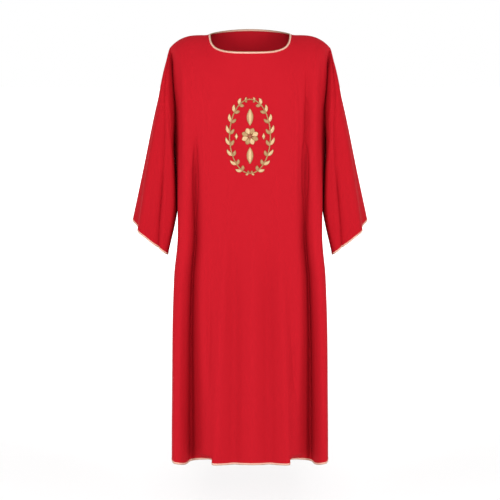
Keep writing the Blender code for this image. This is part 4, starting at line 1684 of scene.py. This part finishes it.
@dataclass
class Binding:
    """A folded gold strip round an edge, with a twisted edge and a row of stitches."""

    node: str
    width: float = 0.0060
    twist_pitch: float = 0.0032
    twist_depth: float = 0.00013
    twist_lean: float = 1.5
    fold_line: float = -0.0008
    step: float = 0.0008
    stitch_length: float = 0.0026
    stitch_gap: float = 0.0011
    stitch_radius: float = 0.00026
    stitch_in: float = 0.00475
    stitch_out: float = 0.00052
    stitch_sides: int = 6

    def resampled(self, guides: Array, normals: Array) -> tuple[Array, Array, Array]:
        """Divides the guides evenly along the edge.

        Args:
            guides: Two closed rows: the edge, and the binding's inner line.
            normals: Outward normals, one for each station.

        Returns:
            The edge, the inner line and the normals at even steps.
        """
        edge, inner, turned = looped(np.stack([*guides, normals]))
        run = run_length(inner[None], 1)[0]
        count = int(round(run[-1] / self.step))
        at = run[-1] * np.arange(count) / count
        return sampled(at, run, edge), sampled(at, run, inner), unit(sampled(at, run, turned))

    def section(
        self, edge: Array, inner: Array, normals: Array, profile: tuple[Pair, ...], twist: Array | float
    ) -> Array:
        """Sweeps part of the strip's section along the edge.

        Args:
            edge: Points along the edge.
            inner: Points along the binding's inner line.
            normals: Normals there.
            profile: (in from the edge, out from the cloth) in millimetres.
            twist: How far the twist swells each station, by points of the profile.

        Returns:
            Profile points by stations.
        """
        into = unit(inner - edge)
        rows = np.array(profile) / 1000.0
        swell = np.broadcast_to(twist, (len(rows), len(edge)))
        out = rows[:, 1, None] + swell * np.sign(rows[:, 1, None] - self.fold_line)
        return edge + rows[:, 0, None, None] * into + out[..., None] * normals

    def build(self, guides: Array, normals: Array, materials: list[Material], flip: bool) -> Object:
        """Makes the binding.

        Args:
            guides: Two closed rows: the edge, and the binding's inner line.
            normals: Outward normals, one for each station.
            materials: The finishes, in the order of BindingPart.
            flip: True where the rows run the other way round.

        Returns:
            The piece.
        """
        edge, inner, out = self.resampled(guides, normals)
        run = np.arange(len(edge)) * self.step
        parts = MeshParts()
        profiles = (
            (BAND_SECTION, BindingPart.BAND),
            (EDGE_SECTION, BindingPart.EDGE),
            (INSIDE_SECTION, BindingPart.BAND),
        )
        for profile, part in profiles:
            twist = 0.0
            if part is BindingPart.EDGE:
                turn = np.arange(len(profile))[:, None] / (len(profile) - 1)
                strands = 2 * math.pi * (run / self.twist_pitch + turn * self.twist_lean)
                twist = self.twist_depth * np.sin(math.pi * turn) * np.sin(strands)
            grid = self.section(edge, inner, out, profile, twist)
            weave = np.stack([run_length(looped(grid), 1), run_length(looped(grid), 0)], axis=-1)
            parts.add_skin(grid, weave, True, flip, part.value)
        self.add_stitches(parts, edge, inner, out)
        return place(parts.build(self.node + "_strip", materials), "binding", self.node)

    def add_stitches(self, parts: MeshParts, edge: Array, inner: Array, out: Array) -> None:
        """Adds a row of short round stitches in the band's groove.

        Args:
            parts: The mesh to add them to.
            edge: Points along the edge.
            inner: Points along the binding's inner line.
            out: Normals there.
        """
        line = edge + self.stitch_in * unit(inner - edge) + self.stitch_out * out
        line, out = looped(np.stack([line, out]))
        run = run_length(line[None], 1)[0]
        count = int(run[-1] / (self.stitch_length + self.stitch_gap))
        pitch = run[-1] / count
        rings = np.array(STITCH_RINGS)
        radius = self.stitch_radius * rings[:, 1:]
        angles = full_turn(self.stitch_sides)[:, None]
        for k in range(count):
            at = k * pitch + rings[:, 0] * self.stitch_length
            centre, up = sampled(at, run, line), unit(sampled(at, run, out))
            across = np.cross(unit(centre[-1] - centre[0]), up)
            circle = across[:, None] * np.cos(angles) + up[:, None] * np.sin(angles)
            sunk = centre + up * (radius - self.stitch_radius)
            parts.add_loft(sunk[:, None] + circle * radius[:, None], False, BindingPart.STITCH.value)


@dataclass
class EdgeGuides:
    """Guide rows for the neck's and the hem's bindings, taken from the creased body."""

    body: BodyForm
    width: float = 0.0060
    stations: int = 260

    def round_body(self, rows: dict[Facing, tuple[Array, Array]]) -> tuple[Array, Array]:
        """Closes the front's and the back's rows into rings.

        Args:
            rows: s and z of each panel's rows, from right to left.

        Returns:
            The guide rows and the normals of the edge.
        """
        front, front_out = self.body.dressed(Facing.FRONT, *rows[Facing.FRONT])
        back, back_out = self.body.dressed(Facing.BACK, *rows[Facing.BACK])
        points = np.concatenate([front, back[:, -2:0:-1]], axis=1)
        normals = np.concatenate([front_out, back_out[:, -2:0:-1]], axis=1)
        return points, normals[1]

    def hem(self) -> tuple[Array, Array]:
        """Guides for the hem's binding.

        Returns:
            Rows along the edge and at the binding's inner line above it, and the normals of the edge.
        """
        s = np.linspace(-1, 1, 4 * self.stations + 1)
        z = np.array([self.body.hem_z, self.body.hem_z + self.width])[:, None]
        rows = np.broadcast_arrays(s, z)
        return self.round_body({facing: (rows[0], rows[1]) for facing in Facing})

    def neck(self) -> tuple[Array, Array]:
        """Guides for the neck's binding.

        Returns:
            Rows along the opening's edge and at the binding's outer line, and the normals of the edge.
        """
        rows = {}
        for facing in Facing:
            angle = math.pi / 2 * np.linspace(-1, 1, self.stations + 1)
            lines = [self.body.neck_edge(facing, angle, inset) for inset in (self.width, 0.0)]
            x, z = (np.stack([line[k] for line in lines]) for k in (0, 1))
            rows[facing] = (self.body.s_at(facing, x, z), z)
        return self.round_body(rows)


# ---- embroidery


# A knot's rings: (share of its radius, share of its height)
KNOT_RINGS = ((0.05, 0.0), (0.75, 0.15), (1.0, 0.5), (0.75, 0.9), (0.15, 1.1))


@dataclass
class Ground:
    """The breast of the front panel, which the embroidery lies on."""

    body: BodyForm
    centre_z: float = -0.294
    rows: int = 70
    steps: int = 300
    reach: float = 0.135

    def __post_init__(self) -> None:
        """Works out a table of s over x and height."""
        self.heights = np.linspace(self.centre_z - self.reach, self.centre_z + self.reach, self.rows)
        self.share = np.linspace(-0.6, 0.6, self.steps)
        self.table = self.body.plain(Facing.FRONT, self.share[None, :], self.heights[:, None])[..., 0]

    def raised(self, flat: Array, lift: Array | float) -> Array:
        """Lays a flat drawing on the cloth.

        Args:
            flat: (x, up) from the emblem's centre.
            lift: Height above the cloth, for each point.

        Returns:
            The points.
        """
        x, z = flat[..., 0].ravel(), self.centre_z + flat[..., 1].ravel()
        at = np.clip((z - self.heights[0]) / (self.heights[1] - self.heights[0]), 0, self.rows - LAST_CELL)
        s = between_rows(at, lambda i, k: np.interp(x[i], self.table[k], self.share))
        points, normals = self.body.dressed(Facing.FRONT, s, z)
        lifts = np.broadcast_to(lift, flat.shape[:-1]).ravel()[:, None]
        return (points + lifts * normals).reshape(*flat.shape[:-1], 3)


@dataclass
class Stitcher:
    """Makes padded satin shapes and corded lines on the breast."""

    ground: Ground
    parts: MeshParts = field(default_factory=MeshParts)
    padding: float = 0.0013
    sink: float = 0.0003
    section_points: int = 9
    roundness: float = 0.7
    vein_width: float = 0.16
    end_rise: float = 2.2
    end_least: float = 0.25
    cord_sides: int = 5
    twisted_cord_sides: int = 8
    strand_radii: float = 3.0
    cord_up: float = 0.5
    knot_sides: int = 8
    knot_height: float = 1.6
    knot_up: float = 0.5

    def leaf(
        self, axis: Array, half_widths: Array, thread: Thread, height: float = 1.0, vein: float = 0.0
    ) -> None:
        """Adds a padded shape along a flat axis.

        Args:
            axis: (x, up) points along its middle.
            half_widths: Its half width at each of them.
            thread: The thread it is worked in.
            height: Its height as a share of the full padding.
            vein: How deep the middle line is drawn in, as a share of the height.
        """
        across = flat_normals(axis)
        angle = math.pi * np.arange(self.section_points) / (self.section_points - 1)
        v, rise = np.cos(angle), np.sin(angle) ** self.roundness
        rise = rise * (1 - vein * np.exp(-((v / self.vein_width) ** 2)))
        bottom = np.array([-0.5, 0.0, 0.5])
        v = np.concatenate([v, bottom])
        lifted = np.concatenate([rise * self.padding * height, np.full(3, -self.sink)])
        lifted[0] = lifted[self.section_points - 1] = -self.sink
        flat = axis[:, None] + (half_widths[:, None] * v)[..., None] * across[:, None]
        full = np.clip(half_widths / half_widths.max() * self.end_rise, self.end_least, 1.0)[:, None]
        lift = np.where(lifted > 0, lifted * full, lifted)
        self.parts.add_loft(self.ground.raised(flat, lift), False, thread.value)

    def cord(self, line: Array, radius: float, thread: Thread, closed: bool, twist: float = 0.0) -> None:
        """Adds a round cord along a flat line.

        Args:
            line: (x, up) points.
            radius: The cord's radius.
            thread: The thread it is worked in.
            closed: True where it closes on itself.
            twist: How much its strands swell, as a share of the radius.
        """
        across = flat_normals(line, closed)
        angle = full_turn(self.twisted_cord_sides if twist else self.cord_sides)
        run = run_length(line[None], 1)[0]
        strands = 2 * math.pi * run[:, None] / (radius * self.strand_radii)
        swell = 1 + twist * np.cos(2 * angle[None, :] - strands)
        flat = line[:, None] + (radius * swell * np.cos(angle))[..., None] * across[:, None]
        lift = radius * self.cord_up + radius * swell * np.sin(angle)
        self.parts.add_loft(self.ground.raised(flat, lift), closed, thread.value)

    def knot(self, centre: Pair, radius: float, thread: Thread) -> None:
        """Adds a small round knot.

        Args:
            centre: Its (x, up).
            radius: Its radius.
            thread: The thread it is worked in.
        """
        rings, turns = np.array(KNOT_RINGS), full_turn(self.knot_sides)
        circle = np.stack([np.cos(turns), np.sin(turns)], axis=-1)
        flat = np.array(centre) + rings[:, 0, None, None] * radius * circle[None, :]
        up = rings[:, 1, None] * self.knot_height * radius
        lift = np.broadcast_to(up, flat.shape[:-1]) + self.padding * self.knot_up
        self.parts.add_loft(self.ground.raised(flat, lift), False, thread.value)

    def finish(self, node: str, materials: list[Material]) -> Object:
        """Makes a piece from what was stitched, and starts afresh.

        Args:
            node: The solid that it stands for.
            materials: The finishes, in the order of Thread.

        Returns:
            The piece.
        """
        piece = place(self.parts.build(node + "_embroidery", materials), "embroidery", node)
        self.parts = MeshParts()
        return piece


def almond(length: float, half_width: float, points: int, belly: float) -> tuple[Array, Array]:
    """The half widths of an almond shape.

    Args:
        length: Its length.
        half_width: Its greatest half width.
        points: How many stations it has.
        belly: Where it is widest, as a share of its length.

    Returns:
        Distances along it and half widths there.
    """
    bluntness, least = 0.85, 0.06
    t = np.linspace(0, 1, points)
    power = math.log(0.5) / math.log(belly)
    width = np.sin(math.pi * t**power) ** bluntness
    return t * length, np.maximum(width, least) * half_width


@dataclass
class Motif:
    """A motif of the embroidery; each kind has its own sizes and its own way to be stitched."""

    stitcher: Stitcher
    node: str
    outline_off: float = 0.0002
    outline_radius: float = 0.00042

    def outline(self, axis: Array, widths: Array) -> None:
        """Adds a fine brown cord round a shape.

        Args:
            axis: The shape's middle line.
            widths: Its half widths.
        """
        out = (widths + self.outline_off)[:, None] * flat_normals(axis)
        line = np.concatenate([axis + out, (axis - out)[::-1]])
        self.stitcher.cord(line, self.outline_radius, Thread.BROWN, True)

    def stitch(self) -> None:
        """Stitches the motif's shapes and cords."""
        raise NotImplementedError

    def build(self, materials: list[Material]) -> Object:
        """The motif's piece, from the finishes in the order of Thread."""
        self.stitch()
        return self.stitcher.finish(self.node, materials)


@dataclass
class Wreath(Motif):
    """Leaves on both sides of a corded stem, growing up both halves of an upright oval."""

    half_width: float = 0.060
    half_height: float = 0.108
    stem_half_width: float = 0.0017
    stem_points: int = 640
    stem_twist: float = 0.22
    leaves: int = 20
    leaf_points: int = 13
    leaf_reach: float = 0.0100
    leaf_half_width: float = 0.0046
    leaf_start: float = 0.26
    leaf_run: float = 0.66
    leaf_foot: float = 0.6
    leaf_bend: float = 1.15
    leaf_belly: float = 0.40
    leaf_vein: float = 0.45
    least_width_share: float = 0.55
    inner_leaf_share: float = 0.74
    shrink_within: float = 0.30

    def oval(self, angle: Array) -> Array:
        """Points of the oval; angle 0 is at its foot."""
        return np.stack([self.half_width * np.sin(angle), -self.half_height * np.cos(angle)], axis=-1)

    def stitch(self) -> None:
        """Stitches the stem, and the leaves up both its halves, smaller near the foot and the top."""
        stem = self.oval(full_turn(self.stem_points))
        self.stitcher.cord(stem, self.stem_half_width, Thread.TAN, True, self.stem_twist)
        spacing = 2 * math.pi / self.leaves
        for k in range(self.leaves):
            start = spacing * k
            rising = k < self.leaves // 2
            foot = start if rising else start + spacing
            full = min(1.0, abs(math.sin(start + spacing / 2)) / self.shrink_within)
            grow = spacing if rising else -spacing
            for side in (1, -1):
                self.blade(foot, grow, side, full)

    def blade(self, foot: float, grow: float, side: int, full: float) -> None:
        """Stitches one leaf with its outline.

        Args:
            foot: The oval's angle at its foot.
            grow: The angle that it grows along, with its sign.
            side: 1 outside the stem and -1 inside it.
            full: Its size as a share.
        """
        small = 0.01
        t = np.linspace(0, 1, self.leaf_points)
        forward = 1.0 if side > 0 else self.inner_leaf_share
        angle = foot + grow * (self.leaf_start + self.leaf_run * t * full) * forward
        tangent = unit(self.oval(angle + small) - self.oval(angle - small))
        away = np.stack([tangent[:, 1], -tangent[:, 0]], axis=-1) * side
        bend = np.sin(math.pi / 2 * t) ** self.leaf_bend
        out = self.stem_half_width * self.leaf_foot + self.leaf_reach * full * bend
        axis = self.oval(angle) + out[:, None] * away
        half_width = self.leaf_half_width * max(full, self.least_width_share)
        widths = almond(1.0, half_width, len(t), self.leaf_belly)[1]
        thread = Thread.CREAM if side > 0 else Thread.TAN
        self.stitcher.leaf(axis, widths, thread, 1.0, self.leaf_vein)
        self.outline(axis, widths)


@dataclass
class Rosette(Motif):
    """Petals round a cluster of knots."""

    radius: float = 0.0255
    petals: int = 8
    petal_points: int = 12
    petal_foot: float = 0.0045
    petal_half_width: float = 0.007128
    petal_belly: float = 0.62
    petal_vein: float = 0.25
    eye_radius: float = 0.0052
    eye_points: int = 30
    eye_cord_radius: float = 0.0008
    eye_twist: float = 0.15
    middle_knot_radius: float = 0.0016
    knots: int = 6
    knot_radius: float = 0.0014
    knot_ring: float = 0.0031

    def stitch(self) -> None:
        """Stitches the petals by turns in two threads, then the eye and its knots."""
        length = self.radius - self.petal_foot
        run, widths = almond(length, self.petal_half_width, self.petal_points, self.petal_belly)
        for k, turn in enumerate(full_turn(self.petals) + math.pi / self.petals):
            axis = (self.petal_foot + run)[:, None] * np.array([math.sin(turn), math.cos(turn)])
            thread = Thread.CREAM if k % 2 else Thread.TAN
            self.stitcher.leaf(axis, widths, thread, 1.0, self.petal_vein)
            self.outline(axis, widths)
        turns = full_turn(self.eye_points)
        eye = self.eye_radius * np.stack([np.sin(turns), np.cos(turns)], axis=-1)
        self.stitcher.cord(eye, self.eye_cord_radius, Thread.BROWN, True, self.eye_twist)
        self.stitcher.knot((0.0, 0.0), self.middle_knot_radius, Thread.PEACH)
        for turn in full_turn(self.knots):
            centre = self.knot_ring * math.sin(turn), self.knot_ring * math.cos(turn)
            self.stitcher.knot(centre, self.knot_radius, Thread.PEACH)


@dataclass
class Bud(Motif):
    """A bud of three petals, pointing up and down."""

    up: float = 0.0560
    half_height: float = 0.0240
    half_width: float = 0.0095
    points: int = 18
    belly: float = 0.5
    side_petal_at: float = 0.62
    side_petal_share: float = 0.36
    side_petal_height: float = 0.8
    middle_petal_share: float = 0.50
    middle_petal_height: float = 1.15
    middle_petal_vein: float = 0.3

    def stitch(self) -> None:
        """Stitches the two side petals, the middle one over them, and the outline."""
        run, widths = almond(2 * self.half_height, self.half_width, self.points, self.belly)
        axis = np.stack([np.zeros_like(run), self.up - self.half_height + run], axis=-1)
        for side in (1, -1):
            off = side * widths * self.side_petal_at
            shifted = axis + np.stack([off, np.zeros_like(off)], axis=-1)
            self.stitcher.leaf(shifted, widths * self.side_petal_share, Thread.TAN, self.side_petal_height)
        middle = widths * self.middle_petal_share
        self.stitcher.leaf(axis, middle, Thread.CREAM, self.middle_petal_height, self.middle_petal_vein)
        self.outline(axis, widths)


@dataclass
class Lozenge(Motif):
    """A small padded lozenge."""

    across: float = 0.0400
    half_height: float = 0.0090
    half_width: float = 0.0045
    points: int = 9
    least_width_share: float = 0.08
    height: float = 0.9

    def stitch(self) -> None:
        """Stitches the lozenge and its outline."""
        run = np.linspace(0, 2 * self.half_height, self.points)
        axis = np.stack([np.full_like(run, self.across), run - self.half_height], axis=-1)
        share = 1 - np.abs(run / self.half_height - 1)
        widths = np.maximum(share, self.least_width_share) * self.half_width
        self.stitcher.leaf(axis, widths, Thread.CREAM, self.height)
        self.outline(axis, widths)


@dataclass
class Emblem:
    """The embroidery on the breast: a rosette between two buds, in an upright wreath, with two lozenges."""

    stitcher: Stitcher

    def build(self, materials: list[Material]) -> list[Object]:
        """Stitches the motifs, each under its solid's name.

        Args:
            materials: The finishes, in the order of Thread.

        Returns:
            The pieces.
        """
        motifs = (
            Wreath(self.stitcher, "wreath"),
            Rosette(self.stitcher, "rosette"),
            Bud(self.stitcher, "bud_upper"),
            Bud(self.stitcher, "bud_lower", up=-Bud.up),
            Lozenge(self.stitcher, "lozenge_right", across=-Lozenge.across),
            Lozenge(self.stitcher, "lozenge_left"),
        )
        return [motif.build(materials) for motif in motifs]


# ---- the garment


@dataclass
class Dalmatic:
    """The whole garment."""

    body: BodyForm = BodyForm()
    pieces: dict[str, Object] = field(default_factory=dict)

    def build_cloth(self) -> None:
        """The two panels and the two sleeves."""
        creases = (*FRONT_CREASES, *BACK_CREASES, *LEFT_SLEEVE_CREASES, *RIGHT_SLEEVE_CREASES)
        log.info("creases laid by hand: %s", ", ".join(crease.name for crease in creases))
        log.info("sleeves lofted through: %s", ", ".join(section.name for section in SLEEVE_SECTIONS))
        crimson, shaded_sleeve_crimson = CLOTH.material(), SHADED_SLEEVE_CLOTH.material()
        for facing, node, steps in ((Facing.FRONT, "front_panel", 7), (Facing.BACK, "back_panel", 10)):
            self.pieces[node] = Panel(self.body, facing, node, steps).build(crimson)
        beside = BodySide(self.body)
        gold = [finish.material() for finish in (BAND, EDGE, STITCH)]
        for side, creases in ((Side.LEFT, LEFT_SLEEVE_CREASES), (Side.RIGHT, RIGHT_SLEEVE_CREASES)):
            sleeve = Sleeve(self.body, side, beside, creases)
            self.pieces[sleeve.node] = sleeve.build(shaded_sleeve_crimson)
            node = "cuff_binding_" + side.name.lower()
            guides, normals = sleeve.cuff_guides()
            self.pieces[node] = Binding(node).build(guides, normals, gold, side is Side.LEFT)
        edges = EdgeGuides(self.body)
        self.pieces["neck_binding"] = Binding("neck_binding").build(*edges.neck(), gold, True)
        self.pieces["hem_binding"] = Binding("hem_binding").build(*edges.hem(), gold, False)

    def build_emblem(self) -> None:
        """The embroidery on the breast."""
        threads = [THREADS[thread].material() for thread in Thread]
        for piece in Emblem(Stitcher(Ground(self.body))).build(threads):
            self.pieces[piece.name] = piece

    def declare_sheets(self) -> None:
        """Takes the note of the flat cut off the two panels and the two sleeves."""
        emblem = [piece for name, piece in self.pieces.items() if name.endswith("_embroidery")]
        neck, hem = self.pieces["neck_binding"], self.pieces["hem_binding"]
        going = {
            "front_panel": [neck, hem, *emblem],
            "back_panel": [],
            "sleeve_left": [self.pieces["cuff_binding_left"]],
            "sleeve_right": [self.pieces["cuff_binding_right"]],
        }
        for node, with_pieces in going.items():
            piece = self.pieces[node]
            del piece["flat"]


# ---- studio


@dataclass(frozen=True)
class Lamp:
    """A soft oblong lamp that looks at the garment."""

    name: str
    location: Point
    size: Pair
    power: float


@dataclass
class Studio:
    """Pale floor, white surroundings, soft lamps and the camera."""

    floor_z: float = -1.66
    floor_size: float = 80.0
    target: Point = (0.0, 0.0, -0.60)
    camera_distance: float = 4.2
    camera_pitch: float = 8.81
    focal_pixels: float = 1387.0
    frame_pixels: float = 500.0
    sensor: float = 36.0
    surround: Pair = (0.28, 1.0)
    surround_turn: Pair = (-0.45, 0.30)
    lamps: tuple[Lamp, ...] = (
        Lamp("key", (0.0, -6.9, 2.4), (2.2, 2.2), 245.0),
        Lamp("left", (6.4, -7.6, 1.8), (2.4, 4.0), 415.0),
        Lamp("right", (-6.4, -7.6, 1.8), (2.4, 4.0), 400.0),
        Lamp("strip_left", (9.0, -2.45, 0.50), (2.8, 4.2), 175.0),
        Lamp("strip_right", (-9.0, -2.45, 0.50), (2.8, 4.2), 165.0),
    )

    def build_floor(self) -> None:
        """A wide pale floor below the hanging garment."""
        bpy.ops.mesh.primitive_plane_add(size=self.floor_size, location=(0, 0, self.floor_z))
        floor = bpy.context.object
        floor.name = "floor"
        floor.data.materials.append(FloorFinish().material())

    def build_surround(self) -> None:
        """Surroundings that are white behind the garment and dimmer in front of it."""
        world = bpy.data.worlds.new("surround")
        world.use_nodes = True
        web = Web(world)
        parts = web.add("SeparateXYZ", {0: web.add("TexCoord").outputs["Generated"]})
        strength = web.ramp(parts.outputs[1], self.surround_turn, self.surround, "SMOOTHSTEP")
        background = world.node_tree.nodes["Background"]
        background.inputs[0].default_value = (1.0, 1.0, 1.0, 1.0)
        world.node_tree.links.new(strength, background.inputs[1])
        bpy.context.scene.world = world

    def build_lamps(self) -> None:
        """A key lamp above the camera, one far out on each side of it, and a weak strip at each side."""
        for lamp in self.lamps:
            data = bpy.data.lights.new(lamp.name, "AREA")
            data.shape = "RECTANGLE"
            data.size, data.size_y = lamp.size
            data.energy = lamp.power
            made = bpy.data.objects.new(lamp.name, data)
            made.location = lamp.location
            aim = Vector(self.target) - Vector(lamp.location)
            made.rotation_euler = aim.to_track_quat("-Z", "Y").to_euler()
            bpy.context.scene.collection.objects.link(made)

    def build_camera(self) -> None:
        """The camera, a little above the breast and looking slightly down."""
        data = bpy.data.cameras.new("camera")
        data.sensor_width = self.sensor
        data.lens = self.sensor * self.focal_pixels / self.frame_pixels
        made = bpy.data.objects.new("camera", data)
        made.location = (0.0, -self.camera_distance, 0.0)
        made.rotation_euler = (math.radians(90 - self.camera_pitch), 0.0, 0.0)
        bpy.context.scene.collection.objects.link(made)
        bpy.context.scene.camera = made

    def build(self) -> None:
        """Builds the floor, the light and the camera."""
        self.build_floor()
        self.build_surround()
        self.build_lamps()
        self.build_camera()
        bpy.context.scene.view_settings.view_transform = "Standard"


def main() -> None:
    """Builds the garment and the studio."""
    logging.basicConfig(level=logging.INFO, format="%(name)s: %(message)s")
    Studio().build()
    garment = Dalmatic()
    garment.build_cloth()
    garment.build_emblem()
    garment.declare_sheets()


if __name__ == "__main__":
    main()
